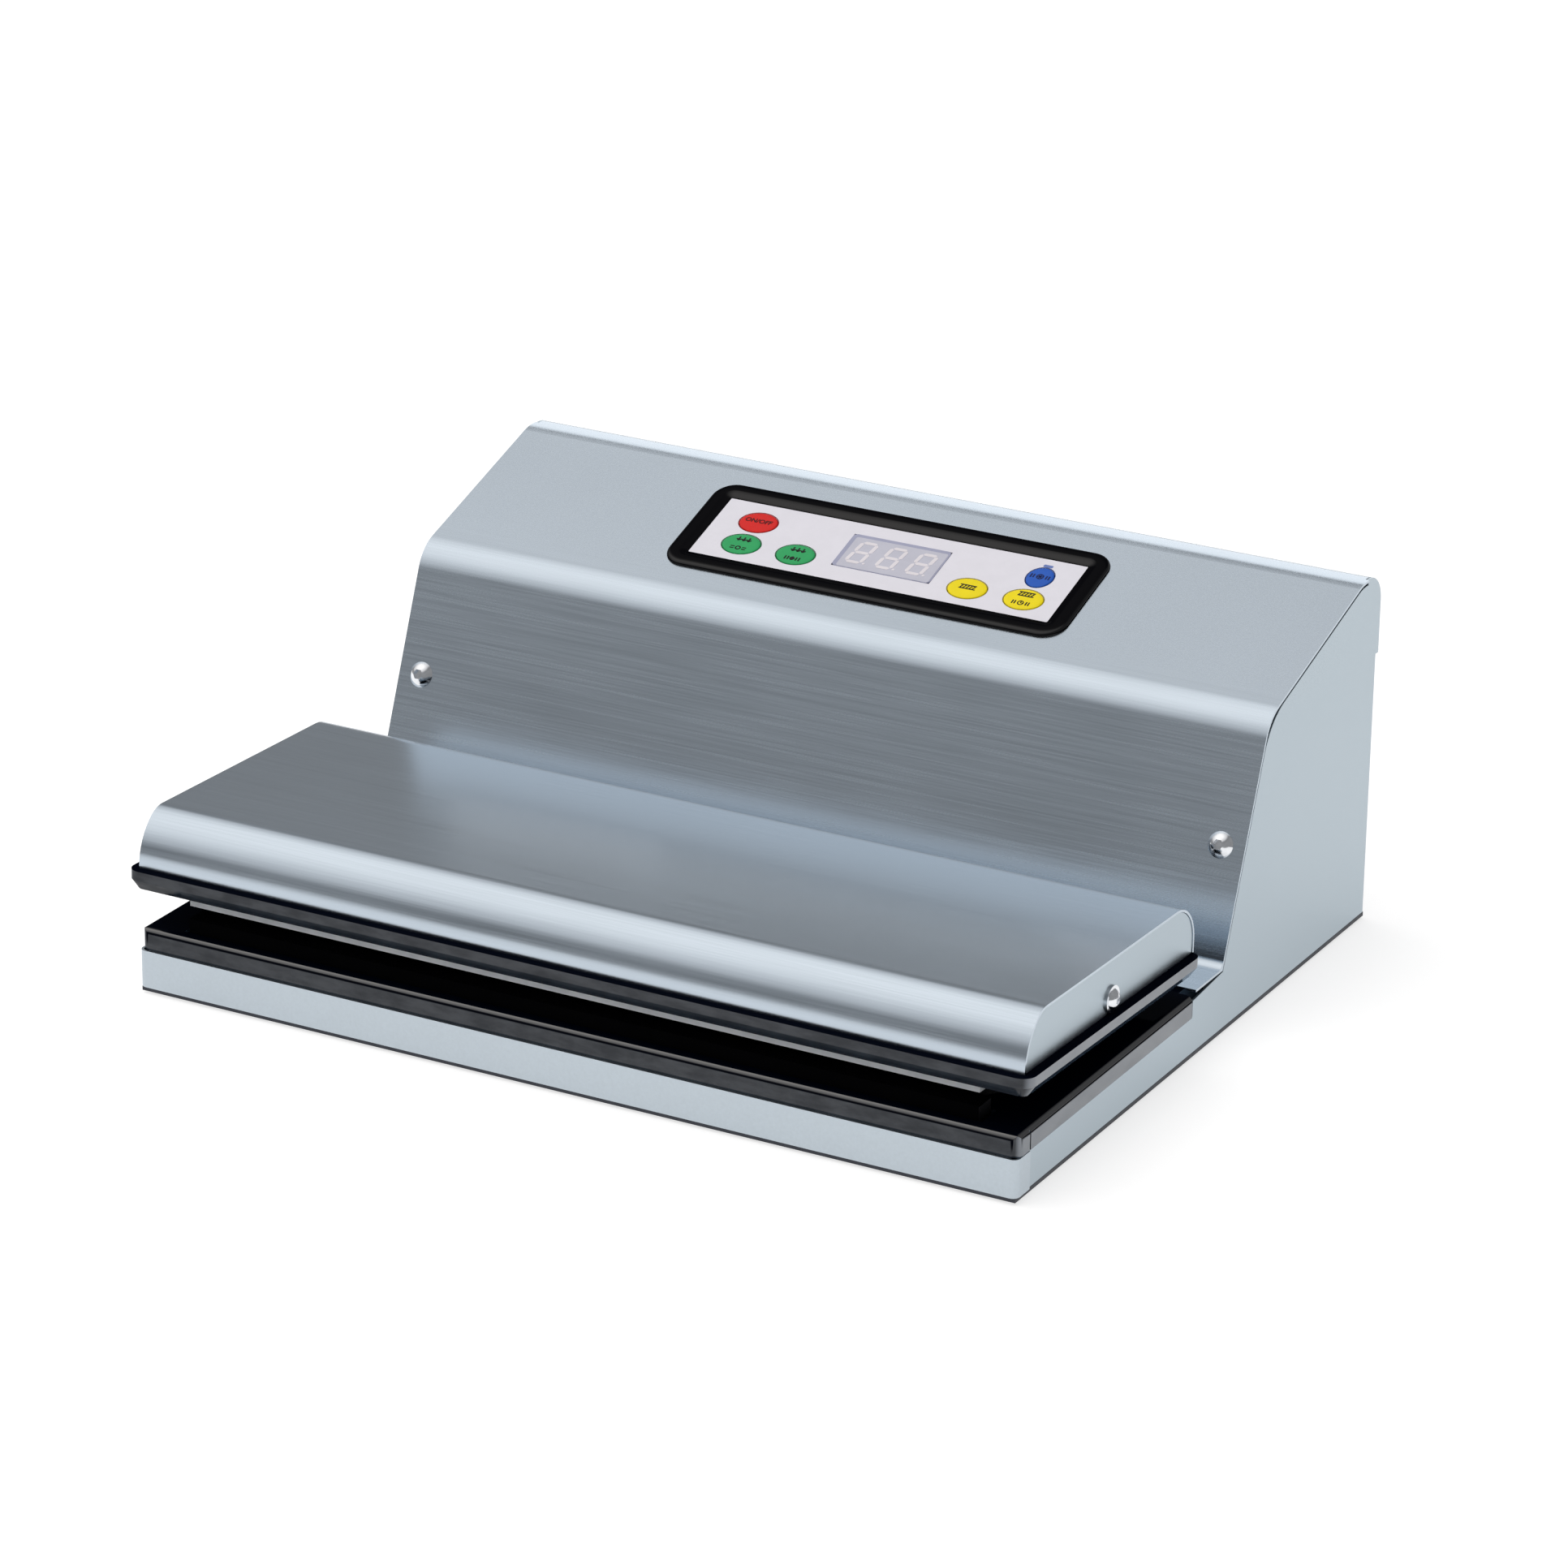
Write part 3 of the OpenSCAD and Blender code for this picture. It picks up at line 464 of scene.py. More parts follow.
@dataclass(frozen=True)
class Soft(Finish):
    """Foam, rubber, silicone or woven tape: a matt skin with fine pores.

    The light that gets into it is through, and the strength of its plain reflection is shine.
    """

    pores: float
    depth: float
    through: float = 0.0
    shine: float = 0.4

    def dress(self, graph: Graph, shader: Node, at: Socket) -> None:
        """Lays pores over a matt skin. See Finish.dress.

        Args:
            graph: The material's graph.
            shader: Its Principled shader.
            at: Object coordinates.
        """
        pore = graph.number(graph.add("ShaderNodeTexVoronoi", None, {"Vector": at, "Scale": self.pores}))
        patch = graph.noise(at, PATCHES, 3.0)
        graph.fill(shader, {
            "Base Color": graph.blend(patch.step(0.3, 0.7), shade(self.colour, 0.82), self.colour),
            "Roughness": patch * 0.2 + (self.roughness - 0.1),
            "Specular IOR Level": self.shine,
            "Subsurface Weight": self.through,
            "Subsurface Radius": (1.0, 0.9, 0.8),
            "Subsurface Scale": 2 * MM,
            "Normal": graph.bump(pore, self.depth, 0.2 * MM)})


@dataclass(frozen=True)
class PrintedFilm(Finish):
    """Printed polyester film: a satin skin with fine tooth and slightly uneven ink."""

    uneven: float = 0.06

    def dress(self, graph: Graph, shader: Node, at: Socket) -> None:
        """Lays fine tooth and uneven ink over a satin skin. See Finish.dress.

        Args:
            graph: The material's graph.
            shader: Its Principled shader.
            at: Object coordinates.
        """
        ink = graph.noise(at, INK_BLOTS, 3.0).step(0.3, 0.7)
        tooth = graph.noise(at, TOOTH, 1.0)
        graph.fill(shader, {
            "Base Color": graph.blend(ink, shade(self.colour, 1 - self.uneven), self.colour),
            "Roughness": tooth * 0.1 + (self.roughness - 0.05),
            "Specular IOR Level": 0.2,
            "Normal": graph.bump(tooth, 0.06, 0.1 * MM)})


@dataclass(frozen=True)
class BoardFinish(Finish):
    """Circuit board: copper tracks that show through a lacquer."""

    track: Colour = (0.02, 0.2, 0.09, 1.0)

    def dress(self, graph: Graph, shader: Node, at: Socket) -> None:
        """Lays a net of tracks under the lacquer. See Finish.dress.

        Args:
            graph: The material's graph.
            shader: Its Principled shader.
            at: Object coordinates.
        """
        net = graph.add("ShaderNodeTexBrick", {"offset": 0.5},
                        {"Vector": at, "Scale": 180.0, "Mortar Size": 0.06,
                         "Color1": (0, 0, 0, 1), "Color2": (0, 0, 0, 1), "Mortar": WHITE})
        line = graph.number(net, "Fac")
        graph.fill(shader, {
            "Base Color": graph.blend(line, self.colour, self.track),
            "Roughness": line * 0.15 + self.roughness,
            "Normal": graph.bump(line, 0.3, 0.1 * MM)})


STEEL_TINT = (0.50, 0.567, 0.635, 1)
FACE_STEEL = BrushedSteel("brushed_steel_face", STEEL_TINT, 0.25, Grain.ALONG_X, 0.03, 0.15, 0.127)
LID_STEEL = BrushedSteel("brushed_steel_lid", STEEL_TINT, 0.22, Grain.ALONG_X, 0.03, 0.14)
PLAIN_STEEL = BrushedSteel("plain_steel", (0.44, 0.51, 0.56, 1), 0.36, Grain.NONE, 0.03, 0.06)
STRIP_STEEL = BrushedSteel("strip_steel", (0.50, 0.56, 0.61, 1), 0.36, Grain.NONE, 0.05, 0.1)
REAR_STEEL = BrushedSteel("rear_steel", (0.48, 0.54, 0.59, 1), 0.34, Grain.ALONG_X, 0.12, 0.2)
CHROME = BrightMetal("screw_chrome", (0.82, 0.84, 0.87, 1), 0.10)
ALUMINIUM = BrightMetal("aluminium", (0.72, 0.73, 0.75, 1), 0.32)
DARK_BAR = BrightMetal("dark_bar", (0.02, 0.02, 0.023, 1), 0.5)
DARK_METAL = BrightMetal("dark_metal", srgb(70, 72, 78), 0.40)
BRASS = BrightMetal("brass", (0.72, 0.50, 0.22, 1), 0.25)
# Both black finishes carry a painted reflection on their ends: pale blue on the trays, near black on the
# bezel.
TRAY_BLACK = TrayPlastic("tray_black", (0.001, 0.002, 0.006, 1), 0.3)
FRAME_BLACK = TrayPlastic("frame_black", (0.002, 0.002, 0.003, 1), 0.18, sides=0.26, front=0.1, flat=0.02,
                          painted_reflection=(0.004, 0.004, 0.006, 1))
DARK_PLASTIC = GlossPlastic("dark_plastic", (0.018, 0.018, 0.02, 1), 0.42, wave=0.15)
FOAM = Soft("gasket_foam", (0.012, 0.012, 0.013, 1), 0.85, 1400.0, 0.6)
RUBBER = Soft("rubber", (0.016, 0.016, 0.017, 1), 0.7, 2200.0, 0.3)
SILICONE = Soft("silicone", (0.90, 0.94, 0.98, 1), 0.45, 2500.0, 0.08, through=0.35)
TAPE = Soft("woven_tape", (0.003, 0.003, 0.0035, 1), 0.7, 1800.0, 0.3, shine=0.0)
WHITE_FILM = PrintedFilm("white_film", srgb(234, 232, 240), 0.42, 0.03)
RED_FILM = PrintedFilm("red_film", srgb(222, 26, 20), 0.25)
GREEN_FILM = PrintedFilm("green_film", srgb(44, 168, 98), 0.3)
YELLOW_FILM = PrintedFilm("yellow_film", srgb(250, 228, 8), 0.3)
BLUE_FILM = PrintedFilm("blue_film", srgb(34, 92, 192), 0.3)
INK = PrintedFilm("ink", srgb(26, 32, 28), 0.5, 0.3)
RED_INK = PrintedFilm("red_ink", srgb(84, 16, 20), 0.5, 0.3)
BLUE_INK = PrintedFilm("blue_ink", srgb(22, 34, 92), 0.5, 0.3)
LAMP_BLUE = PrintedFilm("lamp_blue", srgb(112, 132, 192), 0.3)
WINDOW_RIM = PrintedFilm("window_rim", srgb(168, 170, 194), 0.25)
WINDOW_FACE = PrintedFilm("window_face", srgb(200, 200, 213), 0.2, 0.05)
SEGMENT = PrintedFilm("segment", srgb(232, 227, 232), 0.3, 0.04)
BOARD = BoardFinish("board", srgb(14, 74, 44), 0.35)
COIL = BrightMetal("coil_copper", (0.45, 0.22, 0.10, 1), 0.35)


# ---- Modelling moves, with sizes in millimetres ----


def shift(x: float, y: float, z: float = 0.0, turn: float = 0.0) -> Matrix:
    """Gives the matrix that turns a piece about Z, then shifts it.

    Args:
        x: Its shift across.
        y: Its shift to the back.
        z: Its shift up.
        turn: Its turn, in degrees.

    Returns:
        The matrix, in metres.
    """
    return Matrix.Translation(Vector((x, y, z)) * MM) @ Matrix.Rotation(math.radians(turn), 4, "Z")


def clear() -> None:
    """Leaves edit mode and deselects everything."""
    if bpy.context.mode != "OBJECT":
        bpy.ops.object.mode_set(mode="OBJECT")
    bpy.ops.object.select_all(action="DESELECT")


def take(piece: Piece) -> None:
    """Selects one object and nothing else.

    Args:
        piece: The object.
    """
    clear()
    piece.hide_set(False)
    piece.select_set(True)
    bpy.context.view_layer.objects.active = piece


@contextmanager
def editing(piece: Piece, everything: bool = True) -> Iterator[None]:
    """Opens a piece in edit mode, and closes it afterwards.

    Args:
        piece: The piece.
        everything: Whether everything gets selected first.

    Yields:
        Nothing; the piece is open meanwhile.
    """
    take(piece)
    bpy.ops.object.mode_set(mode="EDIT")
    if everything:
        bpy.ops.mesh.select_all(action="SELECT")
    yield
    bpy.ops.object.mode_set(mode="OBJECT")


def flat(name: str, length: float, width: float, sides: int = 4, z: float = 0.0) -> Piece:
    """Adds a flat rectangle or oval to start a piece from.

    Args:
        name: The piece's name.
        length: Its size along X.
        width: Its size along Y.
        sides: How many sides it has; 4 gives a rectangle.
        z: A rectangle's height.

    Returns:
        The shape, in object mode.
    """
    clear()
    if sides == 4:
        bpy.ops.mesh.primitive_plane_add(size=1, location=(0, 0, z * MM))
    else:
        bpy.ops.mesh.primitive_circle_add(vertices=sides, radius=0.5, fill_type="NGON")
    piece = bpy.context.active_object
    piece.name = name
    piece.data.name = name
    piece.scale = (length * MM, width * MM, 1)
    bpy.ops.object.transform_apply(location=True, rotation=True, scale=True)
    return piece


def round_corners(piece: Piece, radius: float, steps: int) -> None:
    """Rounds the corners of a flat rectangle.

    Args:
        piece: The rectangle.
        radius: The corners' radius.
        steps: How many segments each corner gets.
    """
    with editing(piece):
        bpy.ops.mesh.bevel(offset=radius * MM, segments=steps, affect="VERTICES")


def hollow(piece: Piece, line: float) -> None:
    """Leaves only a ring along the outline of a flat piece.

    Args:
        piece: The flat piece.
        line: The ring's width.
    """
    with editing(piece):
        bpy.ops.mesh.inset(thickness=line * MM, depth=0, use_even_offset=True)
        bpy.ops.mesh.delete(type="FACE")


def rise(piece: Piece, profile: Profile) -> None:
    """Raises the highest face in insets, so that its rim follows a profile.

    Args:
        piece: The piece.
        profile: Pairs of an inset and a rise.
    """
    with editing(piece):
        mesh = bmesh.from_edit_mesh(piece.data)
        bpy.context.tool_settings.mesh_select_mode = (False, False, True)
        top = max(v.co.z for v in mesh.verts) - TOUCH
        for face in mesh.faces:
            face.select_set(face.normal.z > 0.5 and face.calc_center_median().z > top)
        mesh.select_flush_mode()
        bmesh.update_edit_mesh(piece.data)
        for inset, depth in profile:
            bpy.ops.mesh.inset(thickness=inset * MM, depth=depth * MM, use_even_offset=True)


def solid(piece: Piece, height: float) -> None:
    """Extrudes all faces of a flat piece down to a closed solid.

    Args:
        piece: The flat piece.
        height: How far the solid goes below it.
    """
    with editing(piece):
        bpy.ops.mesh.extrude_region_move(TRANSFORM_OT_translate={"value": (0, 0, -height * MM)})
        turn_outward()


def turn_outward() -> None:
    """Turns all normals of the piece that is open outward."""
    bpy.ops.mesh.select_all(action="SELECT")
    bpy.ops.mesh.normals_make_consistent(inside=False)


def modify(piece: Piece, kind: str, settings: dict) -> None:
    """Adds a modifier, sets it up and applies it.

    Args:
        piece: The piece.
        kind: The modifier's type.
        settings: Its attributes.
    """
    take(piece)
    tool = piece.modifiers.new(kind.lower(), kind)
    for key, value in settings.items():
        setattr(tool, key, value)
    bpy.ops.object.modifier_apply(modifier=tool.name)


def soft_copy(node: str, name: str, edge: float, steps: int, limit: float = 35.0) -> Piece:
    """Copies a solid, joins its loose triangles into clean faces and rounds its sharp edges.

    Args:
        node: The solid's name.
        name: The new piece's name.
        edge: The rounding's width.
        steps: How many segments it gets.
        limit: The least angle that is rounded, in degrees.

    Returns:
        The new piece.
    """
    piece = bpy.data.objects.new(name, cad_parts[node].data.copy())
    piece.data.name = name
    bpy.context.scene.collection.objects.link(piece)
    take(piece)
    if piece.data.has_custom_normals:
        bpy.ops.mesh.customdata_custom_splitnormals_clear()
    with editing(piece):
        bpy.ops.mesh.remove_doubles(threshold=2 * TOUCH)
        bpy.ops.mesh.select_all(action="SELECT")
        bpy.ops.mesh.dissolve_limited(angle_limit=math.radians(0.4))
    modify(piece, "BEVEL", {"width": edge * MM, "segments": steps, "limit_method": "ANGLE",
                            "angle_limit": math.radians(limit), "use_clamp_overlap": True})
    return piece


def join(name: str, pieces: list[Piece]) -> Piece:
    """Joins several objects into one.

    Args:
        name: The joined piece's name.
        pieces: The objects.

    Returns:
        The joined piece.
    """
    clear()
    for piece in pieces:
        piece.select_set(True)
    bpy.context.view_layer.objects.active = pieces[0]
    bpy.ops.object.join()
    pieces[0].name = name
    pieces[0].data.name = name
    return pieces[0]


def place(piece: Piece, matrix: Matrix) -> Piece:
    """Moves a piece's mesh by a matrix and leaves its object at the origin.

    Args:
        piece: The piece.
        matrix: Where it goes.

    Returns:
        The same piece.
    """
    take(piece)
    piece.matrix_world = matrix @ piece.matrix_world
    bpy.ops.object.transform_apply(location=True, rotation=True, scale=True)
    return piece


def deliver(piece: Piece, finish: Finish, body: str,
            stands_for: tuple[str, ...] = (), smooth: float = 40.0) -> None:
    """Smooths a finished piece with its large faces kept flat, dresses it and ties it to a body.

    Args:
        piece: The piece.
        finish: Its finish.
        body: The body it rides on.
        stands_for: The solids that it replaces.
        smooth: Edges flatter than this many degrees are shaded smooth.
    """
    take(piece)
    bpy.ops.object.shade_smooth_by_angle(angle=math.radians(smooth))
    modify(piece, "WEIGHTED_NORMAL", {"mode": "FACE_AREA", "weight": 100, "keep_sharp": True})
    piece.data.materials.clear()
    piece.data.materials.append(finish.material())
    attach(piece, body)
    if stands_for:
        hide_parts(*stands_for)
    LOG.info("%s: %d faces, rides on %s", piece.name, len(piece.data.polygons), body)


# ---- Sub-assemblies ----


@dataclass
class SheetMetal:
    """The folded sheets and trays: softened copies of their solids, so that every edge catches light."""

    sheet_edge: float = 0.45
    tray_edge: float = 0.9
    plain_edge: float = 0.2

    def build(self) -> None:
        """Copies, softens and dresses each sheet and tray."""
        rows = [
            ("front_panel", "housing_shell", self.sheet_edge, FACE_STEEL, "base", "brushed_steel"),
            ("side_plate_left", "housing_side_left", self.plain_edge, PLAIN_STEEL, "base", "brushed_steel"),
            ("side_plate_right", "housing_side_right", self.plain_edge, PLAIN_STEEL, "base", "brushed_steel"),
            ("base_tray", "front_strip", self.plain_edge, STRIP_STEEL, "base", "brushed_steel"),
            ("lid_cover", "lid_sheet", self.sheet_edge, LID_STEEL, "lid", "brushed_steel"),
            ("lid_end_left", "lid_side_left", self.plain_edge, PLAIN_STEEL, "lid", "brushed_steel"),
            ("lid_end_right", "lid_side_right", self.plain_edge, PLAIN_STEEL, "lid", "brushed_steel"),
            ("lid_tray", "lid_vacuum_tray", self.tray_edge, TRAY_BLACK, "lid", "black_gloss"),
            ("chamber_plate", "lower_vacuum_tray", self.plain_edge, TRAY_BLACK, "base", "black_gloss"),
        ]
        for node, name, edge, finish, body, slot in rows:
            deliver(soft_copy(node, name, edge, 3), finish, body, (node,))


@dataclass
class Gaskets:
    """The two foam rings, with rounded crowns."""

    crown: float = 1.8

    def build(self) -> None:
        """Copies, rounds and dresses both rings."""
        for node, name, body in (("lower_gasket", "lower_foam_ring", "base"),
                                 ("lid_gasket", "upper_foam_ring", "lid")):
            deliver(soft_copy(node, name, self.crown, 4, 60), FOAM, body, (node,))


@dataclass
class Key:
    """One key: where it is, how big, and the finishes of its cap and of the mark on it."""

    name: str
    at: Pair
    finish: Finish
    slot: str
    ink: Finish
    size: Pair = (17.0, 13.0)


@dataclass
class Plate:
    """One plate of the display: how far it stands out of the film, its form and its finish."""

    name: str
    patch: Patch
    lift: float
    depth: float
    corner: float
    corner_steps: int
    profile: Profile
    finish: Finish
    stands_for: tuple[str, ...] = ()


@dataclass
class ControlPanel:
    """The bezel, the display, the keys and their printing, all laid out on the slope.

    Places on the slope are from the panel's middle. The digits' slant is a slope, without a unit.
    """

    middle: Place = (0.0, 68.4, 127.2)
    up: float = 34.4
    lean: float = 18.4
    bezel: Pair = (184.0, 57.4)
    bezel_radius: float = 10.0
    bezel_profile: Profile = (
        (0.1, 0.5), (0.3, 0.5), (0.55, 0.45), (0.8, 0.3), (1.0, 0.2), (1.1, 0.08), (1.0, -0.04),
        (0.8, -0.12), (1.2, -0.45), (1.2, -0.45), (0.6, -0.25), (0.45, -0.1))
    bezel_wall: float = 2.9
    film_top: float = 0.51
    plates: list[Plate] = field(default_factory=lambda: [
        Plate("display_rim", (2.0, 0.9, 45.3, 22.1), 0.16, 1.9, 2.0, 5,
              ((0.15, 0.08), (0.3, 0.0), (0.12, -0.06)), WINDOW_RIM, ("display_window",)),
        Plate("display_face", (2.7, 0.1, 42.6, 20.0), 0.26, 0.6, 1.0, 4, ((0.1, 0.04),), WINDOW_FACE)])
    digits_at: Pair = (2.2, 0.5)
    digit_pitch: float = 13.8
    digit: Pair = (6.7, 13.2)
    segment_width: float = 1.7
    segment_gap: float = 0.35
    slant: float = 0.14
    cap_edge: float = 0.42
    cap_depth: float = 2.3
    cap_profile: Profile = ((0.08, 0.14), (0.2, 0.12), (0.4, 0.1), (0.7, 0.06), (1.2, 0.04))
    ink: float = 0.05
    lamp: Patch = (66.9, 14.9, 4.3, 1.7)
    keys: list[Key] = field(default_factory=lambda: [
        Key("key_power", (-63.5, 7.0), RED_FILM, "red_film", RED_INK),
        Key("key_vacuum_auto", (-63.5, -8.4), GREEN_FILM, "green_film", INK),
        Key("key_vacuum_manual", (-38.0, -8.4), GREEN_FILM, "green_film", INK),
        Key("key_seal", (41.4, -8.4), YELLOW_FILM, "yellow_film", INK),
        Key("key_seal_time", (66.9, -8.4), YELLOW_FILM, "yellow_film", INK),
        Key("key_pump", (66.9, 7.0), BLUE_FILM, "blue_film", BLUE_INK, (11.4, 13.0))])

    def slope(self, x: float = 0.0, y: float = 0.0, z: float = 0.0) -> Matrix:
        """Gives the matrix that lays a flat piece on the slope.

        Args:
            x: Its shift across.
            y: Its shift up the slope.
            z: Its shift out of the slope.

        Returns:
            The matrix, in metres.
        """
        lean = Matrix.Rotation(math.radians(self.lean), 4, "X")
        return shift(*self.middle) @ lean @ shift(x, self.up + y, z)

    def build(self) -> None:
        """Builds every piece of the panel."""
        self.build_bezel()
        self.build_display()
        for key in self.keys:
            self.build_key(key)
            self.build_outline(key)
            self.build_mark(key)
        self.build_lamp()

    def build_bezel(self) -> None:
        """Models the bezel as a rounded frame with a steep inner wall."""
        piece = flat("bezel_frame", *self.bezel, z=0.02)
        round_corners(piece, self.bezel_radius, 10)
        rise(piece, self.bezel_profile)
        with editing(piece, everything=False):
            bpy.ops.mesh.extrude_region_move(TRANSFORM_OT_translate={"value": (0, 0, -self.bezel_wall * MM)})
            bpy.ops.mesh.delete(type="FACE")
            bpy.context.tool_settings.mesh_select_mode = (False, True, False)
            bpy.ops.mesh.select_all(action="DESELECT")
            bpy.ops.mesh.select_non_manifold()
            bpy.ops.mesh.bridge_edge_loops()
            turn_outward()
        place(piece, self.slope())
        deliver(piece, FRAME_BLACK, "base", ("bezel",), smooth=60)

    def build_display(self) -> None:
        """Models the display: a sunk rim, a pale face and three digits of unlit segments."""
        for plate in self.plates:
            x, y, length, width = plate.patch
            piece = flat(plate.name, length, width, z=plate.lift)
            round_corners(piece, plate.corner, plate.corner_steps)
            solid(piece, plate.depth)
            rise(piece, plate.profile)
            place(piece, self.slope(x, y, self.film_top))
            deliver(piece, plate.finish, "base", plate.stands_for)
        self.build_digits()

    def build_digits(self) -> None:
        """Models the digits' segments as small hexagonal bars, with a dot after each digit."""
        height = 0.12
        wide, tall = self.digit
        bars: list[Piece] = []
        places = [(0, tall / 2, False), (0, 0, False), (0, -tall / 2, False),
                  (-wide / 2, tall / 4, True), (wide / 2, tall / 4, True),
                  (-wide / 2, -tall / 4, True), (wide / 2, -tall / 4, True)]
        for middle in (-self.digit_pitch, 0.0, self.digit_pitch):
            for x, y, upright in places:
                long = (tall / 2 if upright else wide) - self.segment_gap
                bar = flat("segment", long - self.segment_width, self.segment_width)
                with editing(bar):
                    for side in (-1, 1):
                        self.point_end(bar, side, self.segment_width / 2)
                solid(bar, height)
                turn = 90 - math.degrees(self.slant) if upright else 0.0
                bars.append(place(bar, shift(middle + x + self.slant * y, y, turn=turn)))
            dot = flat("dot", 1.2, 1.2, 12)
            solid(dot, height)
            bars.append(place(dot, shift(middle + wide / 2 + 0.7, -tall / 2)))
        digits = join("display_digits", bars)
        place(digits, self.slope(*self.digits_at, self.film_top + 0.38))
        deliver(digits, SEGMENT, "base")

    @staticmethod
    def point_end(bar: Piece, side: int, length: float) -> None:
        """Pulls one end of a flat bar out to a point.

        Args:
            bar: The bar, in edit mode.
            side: Which end, -1 or 1.
            length: How far the point reaches.
        """
        mesh = bmesh.from_edit_mesh(bar.data)
        bpy.context.tool_settings.mesh_select_mode = (False, True, False)
        reach = max(v.co.x * side for v in mesh.verts)
        for part in (*mesh.faces, *mesh.edges, *mesh.verts):
            part.select_set(False)
        for edge in mesh.edges:
            edge.select_set(all(v.co.x * side > reach - TOUCH for v in edge.verts))
        mesh.select_flush_mode()
        bmesh.update_edit_mesh(bar.data)
        bpy.ops.mesh.extrude_region_move(TRANSFORM_OT_translate={"value": (side * length * MM, 0, 0)})
        bpy.ops.mesh.merge(type="CENTER")

    def build_key(self, key: Key) -> None:
        """Models one key as an oval cap with a rounded shoulder and a low crown.

        Args:
            key: The key.
        """
        piece = flat(key.name + "_cap", *key.size, 64)
        solid(piece, self.cap_depth)
        rise(piece, self.cap_profile)
        place(piece, self.slope(*key.at, self.cap_edge))
        deliver(piece, key.finish, key.name, (key.name,), smooth=50)

    def build_outline(self, key: Key) -> None:
        """Models the printed line around a key, as a thin ring on the film.

        Args:
            key: The key.
        """
        length, width = key.size
        ring = flat(key.name + "_outline", length + 1, width + 1, 64)
        hollow(ring, 0.25)
        solid(ring, self.ink)
        place(ring, self.slope(*key.at, self.film_top + self.ink + 0.005))
        line = PrintedFilm(key.finish.name + "_line", shade(key.finish.colour, 0.35), 0.4)
        deliver(ring, line, "base")

    def build_lamp(self) -> None:
        """Models the pale printed mark above the pump key."""
        x, y, length, width = self.lamp
        lamp = join("pump_lamp_mark", [self.bar(0, 0, length, width)])
        place(lamp, self.slope(x, y, self.film_top + 0.03))
        deliver(lamp, LAMP_BLUE, "base")

    def build_mark(self, key: Key) -> None:
        """Models the generic mark on a key: ON/OFF, arrows, seams, a clock or a ring.

        Args:
            key: The key.
        """
        draw = {"key_power": self.mark_power, "key_vacuum_auto": self.mark_auto,
                "key_vacuum_manual": self.mark_manual, "key_seal": self.mark_seal,
                "key_seal_time": self.mark_time, "key_pump": self.mark_pump}[key.name]
        mark = join(key.name + "_mark", draw())
        crown = self.cap_edge + sum(height for _, height in self.cap_profile)
        place(mark, self.slope(*key.at, crown + self.ink))
        deliver(mark, key.ink, key.name)

    def bar(self, x: float, y: float, length: float, width: float, turn: float = 0.0) -> Piece:
        """Models one short printed stroke with rounded corners.

        Args:
            x: Its middle across.
            y: Its middle up.
            length: Its length.
            width: Its width.
            turn: Its turn, in degrees.

        Returns:
            The stroke.
        """
        piece = flat("stroke", length, width)
        round_corners(piece, min(length, width) * 0.3, 2)
        solid(piece, self.ink)
        return place(piece, shift(x, y, turn=turn))

    def ring(self, x: float, y: float, size: float, width: float) -> Piece:
        """Models one printed ring.

        Args:
            x: Its middle across.
            y: Its middle up.
            size: Its diameter.
            width: Its line's width.

        Returns:
            The ring.
        """
        piece = flat("ring", size, size, 28)
        hollow(piece, width)
        solid(piece, self.ink)
        return place(piece, shift(x, y))

    def mark_power(self) -> list[Piece]:
        """Makes the words ON/OFF. Returns its pieces."""
        clear()
        bpy.ops.object.text_add()
        text = bpy.context.active_object
        text.data.body = "ON/OFF"
        text.data.align_x = "CENTER"
        text.data.align_y = "CENTER"
        text.data.size = 3.4 * MM
        text.data.extrude = self.ink / 2 * MM
        text.data.offset = 0.11 * MM
        bpy.ops.object.convert(target="MESH")
        return [place(bpy.context.active_object, shift(-0.2, 0.6, -self.ink / 2))]

    def arrow(self, x: float, y: float) -> list[Piece]:
        """Makes one arrow that points down.

        Args:
            x: Its middle across.
            y: Its middle up.

        Returns:
            Its strokes.
        """
        return [self.bar(x, y + 0.2, 2.3, 0.75, 90), self.bar(x - 0.5, y - 0.6, 1.7, 0.7, -45),
                self.bar(x + 0.5, y - 0.6, 1.7, 0.7, 45)]

    def arrows(self) -> list[Piece]:
        """Makes the row of three arrows. Returns its strokes."""
        return [stroke for x in (-2.3, 0, 2.3) for stroke in self.arrow(x, 2.9)]

    def seam(self, y: float, length: float) -> list[Piece]:
        """Makes a stitched seam between two lines.

        Args:
            y: Its middle up.
            length: Its length.

        Returns:
            Its strokes.
        """
        pitch = 1.4
        count = int(length / pitch)
        return [*[self.bar(0, y + side, length, 0.65) for side in (1.15, -1.15)],
                *[self.bar((i - (count - 1) / 2) * pitch, y, 1.7, 0.6, 60) for i in range(count)]]

    def mark_auto(self) -> list[Piece]:
        """Makes three arrows over a ring between lines. Returns its pieces."""
        return [*self.arrows(), self.ring(0, -3.0, 2.6, 0.6),
                *[self.bar(x, y, 1.9, 0.55) for x in (-2.7, 2.7) for y in (-2.4, -3.6)]]

    def mark_manual(self) -> list[Piece]:
        """Makes three arrows over a row of short bars. Returns its pieces."""
        return [*self.arrows(), *[self.bar(x, -3.0, 2.3, 0.7, 90) for x in (-3.2, -1.9, 1.9, 3.2)],
                self.bar(0, -3.0, 2.2, 2.2, 45)]

    def mark_seal(self) -> list[Piece]:
        """Makes a stitched seam between two lines. Returns its pieces."""
        return self.seam(0.6, 7.4)

